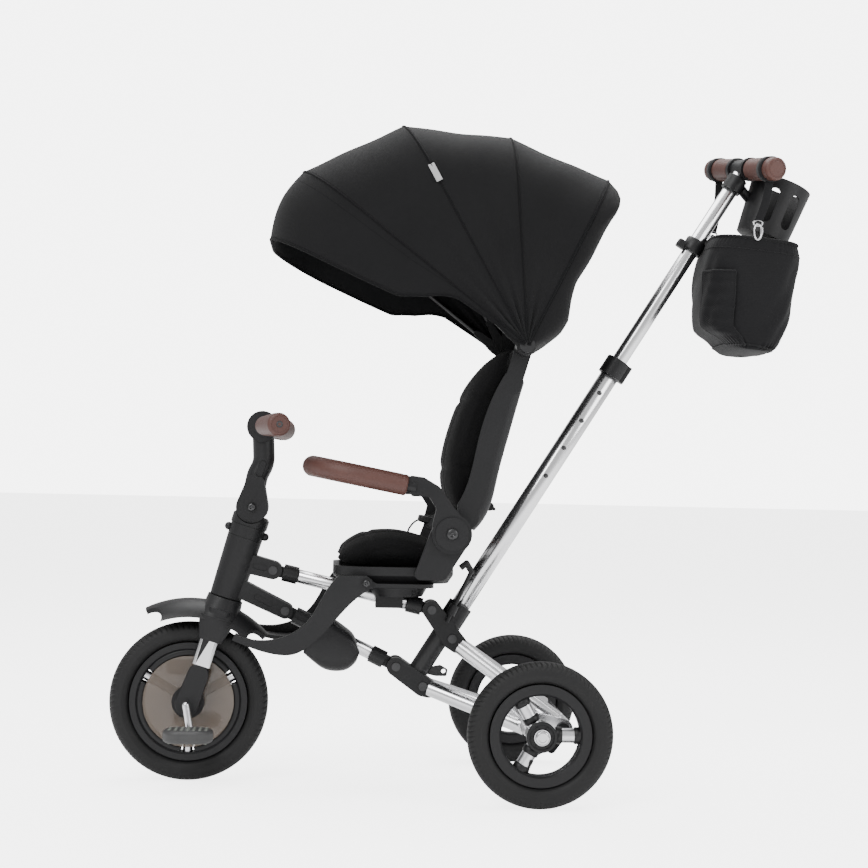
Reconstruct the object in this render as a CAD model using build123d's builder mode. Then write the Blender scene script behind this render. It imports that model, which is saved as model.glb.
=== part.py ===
from build123d import *
from math import cos, hypot, radians, sin
import os

# Folding push tricycle with a canopy. Millimetres, +Z up, -X is forward, +Y is the rider's right.
# The origin is on the floor, in the centre plane, midway between the front tyre and the cup holder's rim.

# ---- driving dimensions ----
front_wheel_d = 254
rear_wheel_d = 221
wheelbase = 543
rear_track = 420
rake_deg = 16.5             # steering axis, leaning back
fork_trail = 5              # steering axis behind the front axle, at axle height

# ---- clearances ----
run_gap = 0.05              # shaft in its own bore
side_gap = 0.4              # faces that pass each other
skin_gap = 1.0              # soft pieces beside hard ones

# ---- sizes shared by several pieces ----
frame_tube_r = 11
sleeve_r = 14
eye_r = 9
eye_half = 6
lug_half = 17
bolt_r = 4
bolt_head_r = 7
bolt_head_t = 3
axle_r = 6
steerer_r = 14
head_r = 27.5
fork_half = 38
leg_t = 12
leg_w = 32
front_tyre_half = 21
rear_tyre_half = 19
front_rim_seat_r = 94
front_rim_inner_r = 81.5
rear_rim_seat_r = 77
rear_rim_inner_r = 60
hub_half = 23
spoke_r = 8
rear_spoke_r = 11
push_outer_r = 15.5
push_inner_r = 12.5
upright_r = 16
casting_half = 21
grip_r = 18
bar_tube_r = 9
wrap_r = 17
seat_half = 117
bracket_t = 11
hub_disc_r = 31
arm_t = 11
back_half = 112
canopy_half = 158
fabric_t = 3
hoop_r = 3.5

# the cup holder's rim is the rearmost point; its distance behind the front axle places the origin
cup_behind = 923
cup_top_r = 50
cup_height = 94
cup_lean_deg = 20
rear_reach = cup_behind + cup_height * sin(radians(cup_lean_deg)) + cup_top_r * cos(radians(cup_lean_deg))
front_axle_x = (front_wheel_d / 2 - rear_reach) / 2
front_axle_z = front_wheel_d / 2
rear_axle_z = rear_wheel_d / 2


def at(behind, height):
    """Side-view point: distance behind the front axle, and height above the floor."""
    return (front_axle_x + behind, height)


def side(y=0):
    """Side-view plane at a distance to the rider's right; its normal points to the rider's left."""
    return Plane.XZ.offset(-y)


def space(point, y):
    """Point in space from a side-view point."""
    return Vector(point[0], y, point[1])


def along(start, end, share):
    """Side-view point at a share of the way from start to end."""
    return (start[0] + (end[0] - start[0]) * share, start[1] + (end[1] - start[1]) * share)


def beyond(start, end, extra):
    """Side-view point on the line from start to end, at a distance from start."""
    return along(start, end, extra / hypot(end[0] - start[0], end[1] - start[1]))


def rod(start, end, radius, mode=Mode.ADD):
    """Round rod between two points in space, in the part being built."""
    run = end - start
    with Locations(Plane(origin=(start + end) / 2, z_dir=run).location):
        Cylinder(radius, run.length, mode=mode)


def cross_rod(point, radius, y_from, y_to, mode=Mode.ADD):
    """Round rod across the tricycle, at a side-view point."""
    rod(space(point, y_from), space(point, y_to), radius, mode)


def link_sketch(first, second, first_r, second_r):
    """Outline of a link: the hull of a circle round each of two side-view points."""
    with BuildSketch(Plane.XY) as outline:
        with Locations(first):
            Circle(first_r)
        with Locations(second):
            Circle(second_r)
        make_hull()
    return outline.sketch


def link(first, second, first_r, second_r, y_from, y_to, mode=Mode.ADD):
    """Link plate between two side-view points, from one side distance to the other."""
    outline = link_sketch(first, second, first_r, second_r)
    extrude(side(y_from) * outline, amount=y_from - y_to, mode=mode)


def save(piece, name):
    """Label a finished piece and write it under its node name."""
    piece.label = name
    export_step(piece, f"parts/{name}.step")


os.makedirs("parts", exist_ok=True)

# ---- side-view layout ----
front_axle = at(0, front_axle_z)
rear_axle = at(wheelbase, rear_axle_z)
upper_front_pivot = at(130, 339)
lower_front_pivot = at(151, 274)
upper_rear_pivot = at(387, 280)
lower_rear_pivot = at(331, 188)
upper_rear_bolt = at(421, 234)
lower_rear_bolt = at(375, 157)
push_foot = at(400, 232)
push_lean_deg = 32.0
stem_pivot = at(94, 440)
bar_centre = at(108, 570)
seat_hub = at(409, 407)
canopy_pivot = at(518, 702)
footrest_pivot = at(278, 329)
steer_base = at(fork_trail, front_axle_z)

steer_plane = Plane(
    origin=space(steer_base, 0),
    x_dir=(cos(radians(rake_deg)), 0, -sin(radians(rake_deg))),
    z_dir=(sin(radians(rake_deg)), 0, cos(radians(rake_deg))),
)
push_plane = Plane(
    origin=space(push_foot, 0),
    x_dir=(cos(radians(push_lean_deg)), 0, -sin(radians(push_lean_deg))),
    z_dir=(sin(radians(push_lean_deg)), 0, cos(radians(push_lean_deg))),
)


def up_steer(plane_height):
    """Plane square to the steering axis, at a height along it above the axle."""
    return steer_plane.offset(plane_height)


def up_push(distance):
    """Plane square to the push bar, at a distance along it above the upright's middle."""
    return push_plane.offset(distance)


# heights along the steering axis
crown_low = front_wheel_d / 2 + 12
head_low = 174
head_high = 275
ring_t = 19
shoulder_t = 19
ring_low = head_high + side_gap
shoulder_low = ring_low + ring_t + side_gap
shoulder_high = shoulder_low + shoulder_t

# distances along the push bar
socket_low = 22
outer_start = 30
outer_length = 496
collar_low = outer_start + outer_length - 14
collar_t = 30
inner_drop = 230
handle_at = 922
bag_collar_at = 768


# ==== main frame ====
def frame_line(distance):
    """Point on the upper tube's line, at a distance behind the upper front pivot."""
    return beyond(upper_front_pivot, upper_rear_pivot, distance)


upper_span = hypot(upper_rear_pivot[0] - upper_front_pivot[0], upper_rear_pivot[1] - upper_front_pivot[1])
sleeve_start = 16.5
sleeve_length = 24


def build_upper_tube():
    """Silver tube between the two sleeves."""
    with BuildPart() as tube:
        start = sleeve_start + sleeve_length / 2
        rod(space(frame_line(start), 0), space(frame_line(upper_span - start), 0), frame_tube_r)
        rod(space(frame_line(start), 0), space(frame_line(upper_span - start), 0), frame_tube_r - 1.5, Mode.SUBTRACT)
    return tube.part


def build_frame_castings():
    """Sleeve with a flat pivot eye over each end of the upper tube, and the seat's base between them."""
    with BuildPart() as sleeves:
        add(build_seat_base())
        for near, far in ((upper_front_pivot, upper_rear_pivot), (upper_rear_pivot, upper_front_pivot)):
            start = beyond(near, far, sleeve_start)
            end = beyond(near, far, sleeve_start + sleeve_length)
            rod(space(start, 0), space(end, 0), sleeve_r)
            link(near, beyond(near, far, sleeve_start + 1), eye_r, eye_r, eye_half, -eye_half)
            cross_rod(near, bolt_r + run_gap, eye_half, -eye_half, Mode.SUBTRACT)
            inside = beyond(near, far, sleeve_start + sleeve_length / 2)
            rod(space(inside, 0), space(end, 0), frame_tube_r, Mode.SUBTRACT)
    return sleeves.part


base_point = at(332, 0)
base_r = 48
base_high = 327.5
plate_t = 6
plate_length = 120
base_low = 301
ear_in = seat_half + 1.4
ear_out = ear_in + 7


def build_seat_base():
    """Round base clamped on the upper tube, with a plate that carries the seat and the footrest."""
    with BuildPart() as base:
        with BuildSketch(Plane.XY.offset(base_low)):
            with Locations((base_point[0], 0)):
                Circle(base_r - 8)
        with BuildSketch(Plane.XY.offset(base_high - plate_t - 6)):
            with Locations((base_point[0], 0)):
                Circle(base_r)
        loft()
        with BuildSketch(Plane.XY.offset(base_high - plate_t - 6)):
            with Locations((base_point[0], 0)):
                Circle(base_r)
        extrude(amount=6)
        with BuildSketch(Plane.XY.offset(base_high - plate_t)):
            with Locations((base_point[0] - 8, 0)):
                RectangleRounded(plate_length, 2 * ear_out, 20)
        extrude(amount=plate_t)
        # clamp under the tube
        with BuildSketch(side(18)):
            with Locations((base_point[0] - 14, frame_line(190)[1] - 2)):
                Rectangle(44, 25)
        extrude(amount=36)
        rod(space(frame_line(60), 0), space(frame_line(upper_span), 0), frame_tube_r + run_gap, Mode.SUBTRACT)
        rod(space(frame_line(upper_span - sleeve_start - sleeve_length - 1), 0), space(frame_line(upper_span + 30), 0),
            sleeve_r + 0.3, Mode.SUBTRACT)
        # grip slots on both sides of the base
        for face in (-1, 1):
            for step in range(4):
                with Locations((base_point[0] + 22 + step * 4, face * (base_r - 9), base_high - 20)):
                    Box(2, 12, 9, mode=Mode.SUBTRACT)
        # footrest pivots at the plate's ends
        for face in (-1, 1):
            low, high = sorted((face * ear_in, face * ear_out))
            link(footrest_pivot, (footrest_pivot[0] + 16, base_high - 3), 7, 3, high, low)
            cross_rod(footrest_pivot, bolt_r + run_gap, low, high, Mode.SUBTRACT)
    return base.part


# ==== seat ====
shell_low = base_high
shell_high = 353
shell_front = 226
shell_rear = 417
shell_wall = 5


def build_seat_shell():
    """Moulded seat pan with a bracket on each side that carries the hub."""
    with BuildPart() as shell:
        middle = front_axle_x + (shell_front + shell_rear) / 2
        length = shell_rear - shell_front
        with BuildSketch(Plane.XY.offset(shell_low)):
            with Locations((middle, 0)):
                RectangleRounded(length - 16, 2 * seat_half - 16, 46)
        with BuildSketch(Plane.XY.offset(shell_low + 12)):
            with Locations((middle, 0)):
                RectangleRounded(length, 2 * seat_half, 54)
        loft()
        with BuildSketch(Plane.XY.offset(shell_low + 12)):
            with Locations((middle, 0)):
                RectangleRounded(length, 2 * seat_half, 54)
        extrude(amount=shell_high - shell_low - 12)
        with BuildSketch(Plane.XY.offset(shell_low + shell_wall)):
            with Locations((middle, 0)):
                RectangleRounded(length - 4 * shell_wall, 2 * (seat_half - 2 * shell_wall), 46)
        extrude(amount=shell_high, mode=Mode.SUBTRACT)
        for face in (-1, 1):
            inner = face * (seat_half + side_gap - 2)
            outer = face * (seat_half + bracket_t)
            low, high = sorted((inner, outer))
            foot_front = at(362, shell_low + 16)
            foot_rear = at(395, shell_low + 16)
            with BuildSketch(Plane.XY) as outline:
                with Locations(foot_front):
                    Circle(9)
                with Locations(foot_rear):
                    Circle(9)
                with Locations(seat_hub):
                    Circle(hub_disc_r)
                make_hull()
            extrude(side(high) * outline.sketch, amount=high - low)
            cross_rod(seat_hub, axle_r + run_gap, low, high, Mode.SUBTRACT)
    return shell.part


cushion_front = 222
cushion_rear = 398
cushion_high = 408


def build_seat_cushion():
    """Domed seat cushion with a thin front lip."""
    with BuildPart() as cushion:
        with BuildSketch(side(seat_half - 3 * shell_wall)):
            with BuildLine():
                front_tip = at(cushion_front, shell_high + 12)
                Spline(front_tip, at(262, 392), at(300, cushion_high), at(350, 404), at(cushion_rear, 378))
                Line(at(cushion_rear, 378), at(cushion_rear, shell_high + skin_gap))
                Line(at(cushion_rear, shell_high + skin_gap), at(240, shell_high + skin_gap))
                Line(at(240, shell_high + skin_gap), front_tip)
            make_face()
        extrude(amount=2 * (seat_half - 3 * shell_wall))
        # plug that sits in the pan
        with BuildSketch(Plane.XY.offset(shell_low + shell_wall + skin_gap)):
            with Locations((front_axle_x + (shell_front + shell_rear) / 2, 0)):
                RectangleRounded(150, 180, 40)
        extrude(amount=shell_high - shell_low)
    return cushion.part


def build_harness():
    """Crotch strap standing over the cushion, its buckle, and a plain label at the rear."""
    with BuildPart() as harness:
        with BuildSketch(side(17)):
            with BuildLine():
                Polyline(at(352, 405.5), at(366, 424), at(378, 414), at(396, 405), at(393, 402), at(376, 408),
                         at(366, 416), at(356, 405), close=True)
            make_face()
        extrude(amount=34)
        with Locations((at(398, 0)[0] - 6, -62, 403)):
            Box(22, 40, 14)
    return harness.part


# ==== front frame ====
lower_lug_bore = bolt_r + run_gap


def build_head_tube():
    """Housing round the steerer, with a slotted lug for the upper tube and one for the lower link."""
    with BuildPart() as head:
        with BuildSketch(up_steer(head_low)):
            Circle(head_r - 1.5)
        with BuildSketch(up_steer(head_high)):
            Circle(head_r + 1)
        loft()
        fillet(head.edges().filter_by(GeomType.CIRCLE).group_by(Axis.Z)[0], 2)
        lug_root = at(78, 352)
        lower_root = at(66, 314)
        link(lug_root, upper_front_pivot, 16, 14.5, lug_half, -lug_half)
        link(lower_root, lower_front_pivot, 15, 12.5, lug_half, -lug_half)
        # slots for the eyes, round each pivot and open towards the rear
        for pivot, clear_r in ((upper_front_pivot, 15.5), (lower_front_pivot, 15.5)):
            reach = (pivot[0] + 40, pivot[1] - 10)
            drop = (pivot[0] + 10, pivot[1] - 40)
            link(pivot, reach, clear_r, clear_r, eye_half + side_gap, -eye_half - side_gap, Mode.SUBTRACT)
            link(pivot, drop, clear_r, clear_r, eye_half + side_gap, -eye_half - side_gap, Mode.SUBTRACT)
            cross_rod(pivot, lower_lug_bore, lug_half, -lug_half, Mode.SUBTRACT)
        # shallow pocket on each outer face of both lugs
        for face in (-1, 1):
            low, high = sorted((face * lug_half, face * (lug_half - 2)))
            for root, pivot in ((lug_root, upper_front_pivot), (lower_root, lower_front_pivot)):
                pocket_from = along(root, pivot, 0.46)
                pocket_to = along(root, pivot, 0.72)
                link(pocket_from, pocket_to, 5, 5, high, low, Mode.SUBTRACT)
        rod(steer_plane.from_local_coords(Vector(0, 0, head_low - 20)),
            steer_plane.from_local_coords(Vector(0, 0, head_high + 20)), steerer_r + run_gap, Mode.SUBTRACT)
    return head.part


def build_pivot_bolts(points, half):
    """Shouldered bolts across a pair of cheeks, with a domed head on each side."""
    with BuildPart() as bolts:
        for point in points:
            cross_rod(point, bolt_r, half, -half)
            for face in (-1, 1):
                cross_rod(point, bolt_head_r, face * half, face * (half + bolt_head_t))
    return bolts.part


# ==== lower link ====
def link_line(distance):
    """Point on the lower link's line, at a distance behind the lower front pivot."""
    return beyond(lower_front_pivot, lower_rear_pivot, distance)


lower_span = hypot(lower_rear_pivot[0] - lower_front_pivot[0], lower_rear_pivot[1] - lower_front_pivot[1])
open_pivot_slack = 3.2      # radial room round the bolt in the link's rear eye
rear_eye_r = 9.5


def build_lower_tube():
    """Silver tube of the lower link."""
    with BuildPart() as tube:
        start = sleeve_start + sleeve_length / 2
        rod(space(link_line(start), 0), space(link_line(lower_span - start - 4), 0), frame_tube_r)
        rod(space(link_line(start), 0), space(link_line(lower_span - start - 4), 0), frame_tube_r - 1.5, Mode.SUBTRACT)
    return tube.part


def build_lower_sleeves():
    """Sleeves of the lower link: a plain front eye, and a rear eye with room round its bolt."""
    with BuildPart() as sleeves:
        for near, far, hole, start_at in (
            (lower_front_pivot, lower_rear_pivot, bolt_r + run_gap, sleeve_start),
            (lower_rear_pivot, lower_front_pivot, bolt_r + open_pivot_slack, sleeve_start + 4),
        ):
            start = beyond(near, far, start_at)
            end = beyond(near, far, start_at + sleeve_length)
            rod(space(start, 0), space(end, 0), sleeve_r)
            link(near, beyond(near, far, start_at + 1), rear_eye_r, rear_eye_r, eye_half, -eye_half)
            cross_rod(near, hole, eye_half, -eye_half, Mode.SUBTRACT)
            inside = beyond(near, far, start_at + sleeve_length / 2)
            rod(space(inside, 0), space(end, 0), frame_tube_r, Mode.SUBTRACT)
    return sleeves.part


def build_rest_pad():
    """Rounded pad clipped under the lower tube; the folded tricycle stands on it."""
    with BuildPart() as pad:
        with BuildSketch(Plane.XY) as outline:
            with BuildLine():
                Polyline(at(198, 266), at(232, 257), at(264, 233), at(271, 206), at(246, 180), at(220, 180),
                         at(176, 208), close=True)
            make_face()
            fillet(outline.vertices(), 7)
        extrude(side(46) * outline.sketch, amount=92)
        fillet(pad.faces().filter_by(Axis.Y).edges(), 7)
        rod(space(link_line(30), 0), space(link_line(150), 0), frame_tube_r, Mode.SUBTRACT)
        for face in (-1, 1):
            low, high = sorted((face * 46, face * 43))
            cross_rod(at(252, 207), 7, low, high, Mode.SUBTRACT)
    return pad.part


# ==== fork ====
def build_fork():
    """Crown with the steerer above it and a flat leg on each side of the wheel."""
    with BuildPart() as fork:
        with BuildSketch(up_steer(crown_low)):
            RectangleRounded(36, 2 * fork_half + leg_t, 8)
        extrude(amount=16)
        with BuildSketch(up_steer(crown_low + 16)):
            Circle(steerer_r)
        extrude(amount=shoulder_low + 4 - crown_low - 16)
        for face in (-1, 1):
            with BuildSketch(up_steer(62)):
                with Locations((-2, face * fork_half)):
                    RectangleRounded(leg_w - 2, leg_t, leg_t / 2 - 0.5)
            extrude(amount=crown_low - 60)
    return fork.part


def build_dropout_caps():
    """Cap over the foot of each fork leg, rounded round the axle."""
    with BuildPart() as caps:
        for face in (-1, 1):
            low, high = sorted((face * (fork_half - leg_t / 2 - 2), face * (fork_half + leg_t / 2 + 2)))
            neck = steer_plane.from_local_coords(Vector(-2, 0, 48))
            link(front_axle, (neck.X, neck.Z), 19, 17, high, low)
            cross_rod(front_axle, axle_r + run_gap, low, high, Mode.SUBTRACT)
            with BuildSketch(up_steer(62)):
                with Locations((-2, face * fork_half)):
                    Rectangle(60, 40)
            extrude(amount=40, mode=Mode.SUBTRACT)
        fillet(caps.faces().filter_by(Axis.Y).edges().filter_by(GeomType.CIRCLE).sort_by(Axis.Z)[:4], 2)
    return caps.part


guard_inner_r = front_wheel_d / 2 + 9
guard_outer_r = front_wheel_d / 2 + 38
guard_half = 46
guard_from_deg = 41
guard_to_deg = 116


def build_mudguard():
    """Arched guard over the wheel, with a collar up to the head and a drop over each fork leg."""
    with BuildPart() as guard:
        section = Plane(origin=space(front_axle, 0), x_dir=(0, 1, 0), z_dir=(1, 0, 0))
        with BuildSketch(section):
            with BuildLine():
                crest = ThreePointArc((-guard_half, guard_inner_r + 1), (0, guard_outer_r), (guard_half, guard_inner_r + 1))
                under = ThreePointArc(crest @ 1, (0, guard_outer_r - 7), crest @ 0)
            make_face()
        sweep_deg = guard_to_deg - guard_from_deg
        spin_axis = Axis(origin=space(front_axle, 0), direction=(0, -1, 0))
        revolve(axis=spin_axis, revolution_arc=sweep_deg)
        guard.part = guard.part.rotate(spin_axis, guard_from_deg - 90)
    with BuildPart() as body:
        add(guard.part)
        # taper the two ends in plan
        for end_deg in (guard_from_deg, guard_to_deg):
            turn = radians(end_deg)
            tip = at(guard_outer_r * cos(turn), front_axle_z + guard_outer_r * sin(turn))
            for face in (-1, 1):
                with Locations(Location((tip[0], face * (guard_half + 8), tip[1]), (0, 0, 0))):
                    Sphere(34, mode=Mode.SUBTRACT)
        # collar under the head housing
        with BuildSketch(up_steer(guard_inner_r + 4)):
            RectangleRounded(64, 2 * fork_half + leg_t + 10, 26)
        with BuildSketch(up_steer(head_low - side_gap)):
            Circle(head_r + 1)
        loft()
        for face in (-1, 1):
            with BuildSketch(up_steer(104)):
                with Locations((-1, face * fork_half)):
                    Ellipse(leg_w / 2 + 3, leg_t / 2 + 4)
            with BuildSketch(up_steer(guard_inner_r + 6)):
                with Locations((-1, face * (fork_half - 3))):
                    Ellipse(leg_w / 2 + 14, leg_t / 2 + 8)
            loft()
        # room for the tyre, the crown and the legs
        cross_rod(front_axle, guard_inner_r - 3, front_tyre_half + 4, -front_tyre_half - 4, Mode.SUBTRACT)
        with BuildSketch(up_steer(crown_low)):
            RectangleRounded(36, 2 * fork_half + leg_t, 8)
        extrude(amount=16, mode=Mode.SUBTRACT)
        for face in (-1, 1):
            with BuildSketch(up_steer(62)):
                with Locations((-2, face * fork_half)):
                    RectangleRounded(leg_w - 2, leg_t, leg_t / 2 - 0.5)
            extrude(amount=crown_low - 58, mode=Mode.SUBTRACT)
        with BuildSketch(up_steer(crown_low)):
            Circle(steerer_r)
        extrude(amount=80, mode=Mode.SUBTRACT)
    return body.part


def build_lock_ring():
    """Ring round the top of the head with a knob at the front and one at the back."""
    with BuildPart() as ring:
        with BuildSketch(up_steer(ring_low)):
            Circle(head_r + 1)
        extrude(amount=ring_t)
        for knob_x in (-head_r - 3, head_r + 3):
            knob = steer_plane.from_local_coords(Vector(knob_x, 0, ring_low + ring_t / 2))
            with Locations(knob):
                Sphere(6.5)
        with BuildSketch(up_steer(ring_low)):
            Circle(steerer_r + run_gap)
        extrude(amount=ring_t, mode=Mode.SUBTRACT)
    return ring.part


cheek_in = 12.4
cheek_out = 24
stem_disc_r = 25.5


def build_stem_base():
    """Shoulder fixed on the steerer, with the tongue of the stem hinge."""
    with BuildPart() as base:
        with BuildSketch(up_steer(shoulder_low)):
            Circle(head_r + 2.5)
        extrude(amount=shoulder_t)
        chamfer(base.edges().group_by(Axis.Z)[-1], 4)
        cross_rod(stem_pivot, stem_disc_r + 1, 40, cheek_in - side_gap, Mode.SUBTRACT)
        cross_rod(stem_pivot, stem_disc_r + 1, -40, -cheek_in + side_gap, Mode.SUBTRACT)
        cross_rod(stem_pivot, stem_disc_r - 1.5, cheek_in - side_gap, -cheek_in + side_gap)
        cross_rod(stem_pivot, bolt_r + run_gap, 40, -40, Mode.SUBTRACT)
        with BuildSketch(up_steer(shoulder_low)):
            Circle(steerer_r)
        extrude(amount=4, mode=Mode.SUBTRACT)
    return base.part


# ==== handlebar ====
clamp_half = 24
clamp_r = 25
stem_r = 17.5


def build_stem():
    """Curved stem with two hinge discs below and a clamp ring round the bar above."""
    with BuildPart() as stem:
        with BuildLine():
            path = FilletPolyline(space(at(95, 462), 0), space(at(101, 492), 0), space(at(111, 512), 0),
                                  space(at(109, 552), 0), radius=40)
        with BuildSketch(Plane(origin=path @ 0, z_dir=path % 0, x_dir=(0, 1, 0))):
            Ellipse(stem_r + 2, stem_r)
        sweep()
        for face in (-1, 1):
            low, high = sorted((face * cheek_in, face * cheek_out))
            link(stem_pivot, at(98, 478), stem_disc_r, 15, high, low)
        cross_rod(stem_pivot, stem_disc_r, cheek_in, -cheek_in, Mode.SUBTRACT)
        cross_rod(stem_pivot, bolt_r, cheek_out - 2, -cheek_out + 2)
        cross_rod(bar_centre, clamp_r, clamp_half, -clamp_half)
        cross_rod(bar_centre, bar_tube_r + 1, clamp_half, -clamp_half, Mode.SUBTRACT)
        # well for the button on the rider's left
        button_low = at(105, 494)
        button_high = at(110, 510)
        link(button_low, button_high, 5 + side_gap, 5 + side_gap, -10, -30, Mode.SUBTRACT)
    return stem.part


def build_stem_button():
    """Oval press button in the stem."""
    with BuildPart() as button:
        link(at(105, 494), at(110, 510), 5, 5, -14.5, -21)
    return button.part


grip_span = 104
bar_half = 160


def bar_path():
    """Centre line of the swept handlebar."""
    tip = at(139, 570)
    return [space(tip, -bar_half), space(bar_centre, -46), space(bar_centre, 46), space(tip, bar_half)]


def build_handlebar():
    """Swept tube through the clamp ring."""
    with BuildPart() as bar:
        points = bar_path()
        with BuildLine():
            path = FilletPolyline(*points, radius=60)
        with BuildSketch(Plane(origin=path @ 0, z_dir=path % 0)):
            Circle(bar_tube_r)
        sweep()
        cross_rod(bar_centre, bar_tube_r + 1, clamp_half, -clamp_half)
    return bar.part


def build_bar_grips():
    """Grip over each end of the handlebar, thicker towards its tip."""
    points = bar_path()
    with BuildPart() as grips:
        for tip, root in ((points[0], points[1]), (points[3], points[2])):
            run = (tip - root).normalized()
            start = tip - run * grip_span
            with BuildSketch(Plane(origin=start, z_dir=run)):
                Circle(15)
            with BuildSketch(Plane(origin=start + run * (grip_span - 22), z_dir=run)):
                Circle(grip_r)
            loft()
            with BuildSketch(Plane(origin=start + run * (grip_span - 22), z_dir=run)):
                Circle(grip_r)
            extrude(amount=26)
            rod(start - run, tip, bar_tube_r, Mode.SUBTRACT)
        fillet(grips.edges().filter_by(GeomType.CIRCLE).sort_by(Axis.Y)[0], 5)
        fillet(grips.edges().filter_by(GeomType.CIRCLE).sort_by(Axis.Y)[-1], 5)
    return grips.part


# ==== wheels ====
def tyre_section(outer_r, seat_r, half):
    """Half-round tyre section in (side distance, radius), flat on its rim seat."""
    wall_r = seat_r + (outer_r - half * 0.9 - seat_r) * 0.5
    crown_side = half * 0.84
    crown_r = outer_r - half * 0.42
    with BuildSketch(Plane.XY) as section:
        with BuildLine():
            Polyline((-half, wall_r), (-half * 0.72, seat_r), (half * 0.72, seat_r), (half, wall_r))
            ThreePointArc((half, wall_r), (crown_side, crown_r), (0, outer_r))
            ThreePointArc((0, outer_r), (-crown_side, crown_r), (-half, wall_r))
        make_face()
    return section.sketch


def wheel_section(centre, y):
    """Plane through a wheel's axis, with x across the tricycle and y up the radius."""
    return Plane(origin=space(centre, y), x_dir=(0, 1, 0), z_dir=(1, 0, 0))


def build_tyre(centre, y, outer_r, seat_r, half):
    """Tyre turned about the axle."""
    with BuildPart() as tyre:
        section = wheel_section(centre, y) * tyre_section(outer_r, seat_r, half)
        revolve(section, axis=Axis(origin=space(centre, y), direction=(0, 1, 0)))
    return tyre.part


def build_wheel(centre, y, seat_r, inner_r, half, hub_r, spoke, first_deg, bore_r):
    """Rim, three round spokes and a bored hub."""
    rim_half = half * 0.72
    with BuildPart() as wheel:
        with BuildSketch(wheel_section(centre, y)):
            with BuildLine():
                Polyline((-rim_half, seat_r), (rim_half, seat_r), (rim_half, inner_r + 3), (rim_half - 3, inner_r),
                         (3 - rim_half, inner_r), (-rim_half, inner_r + 3), close=True)
            make_face()
        revolve(axis=Axis(origin=space(centre, y), direction=(0, 1, 0)))
        cross_rod(centre, hub_r, y - hub_half, y + hub_half)
        for turn in range(3):
            angle = radians(first_deg + 120 * turn)
            end = (centre[0] + (inner_r + 2) * cos(angle), centre[1] + (inner_r + 2) * sin(angle))
            rod(space(centre, y), space(end, y), spoke)
        cross_rod(centre, bore_r, y - hub_half, y + hub_half, Mode.SUBTRACT)
    return wheel.part


disc_r = 72.7
disc_t = 2.5
disc_at = 13


def build_front_discs():
    """Pair of thin smoked discs, one on each side of the spokes."""
    with BuildPart() as discs:
        for face in (-1, 1):
            low, high = sorted((face * disc_at, face * (disc_at + disc_t)))
            cross_rod(front_axle, disc_r, low, high)
            cross_rod(front_axle, front_hub_r, low, high, Mode.SUBTRACT)
    return discs.part


front_hub_r = 26
crank_reach = 42
crank_y = 60
crank_turn_deg = -79
pedal_y = 96
pedal_half = 32


def crank_end(face):
    """Side-view place of the pedal axle; the two arms point opposite ways."""
    turn = radians(crank_turn_deg if face < 0 else crank_turn_deg + 180)
    return (front_axle[0] + crank_reach * cos(turn), front_axle[1] + crank_reach * sin(turn))


def build_crankshaft():
    """Axle through the hub with a bent arm and a pedal pin at each end."""
    with BuildPart() as crank:
        cross_rod(front_axle, axle_r, -crank_y, crank_y)
        for face in (-1, 1):
            end = crank_end(face)
            rod(space(front_axle, face * crank_y), space(end, face * (crank_y + 4)), axle_r)
            with Locations(space(front_axle, face * crank_y)):
                Sphere(axle_r)
            with Locations(space(end, face * (crank_y + 4))):
                Sphere(axle_r)
            rod(space(end, face * (crank_y + 4)), space(end, face * (pedal_y + pedal_half - 8)), 5)
    return crank.part


def build_pedal(face):
    """Round-ended pedal block turning on its pin."""
    centre = crank_end(face)
    with BuildPart() as pedal:
        low, high = sorted((face * (pedal_y - pedal_half + 8), face * (pedal_y + pedal_half)))
        with BuildSketch(Plane.XY.offset(centre[1] - 10)):
            with Locations((centre[0], (low + high) / 2)):
                RectangleRounded(78, high - low, 26)
        extrude(amount=20)
        fillet(pedal.faces().filter_by(Axis.Z).edges(), 6)
        cross_rod(centre, 5 + run_gap, face * (pedal_y - pedal_half), face * (pedal_y + pedal_half - 8 + 0.5), Mode.SUBTRACT)
    return pedal.part


# ==== rear frame ====
rear_tube_r = 12.5
release_y = -27
release_r = 3.5
release_foot = at(411, 262)
release_top = at(449, 344)
rear_spread = 92
housing_rear = at(590, 106)


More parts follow.
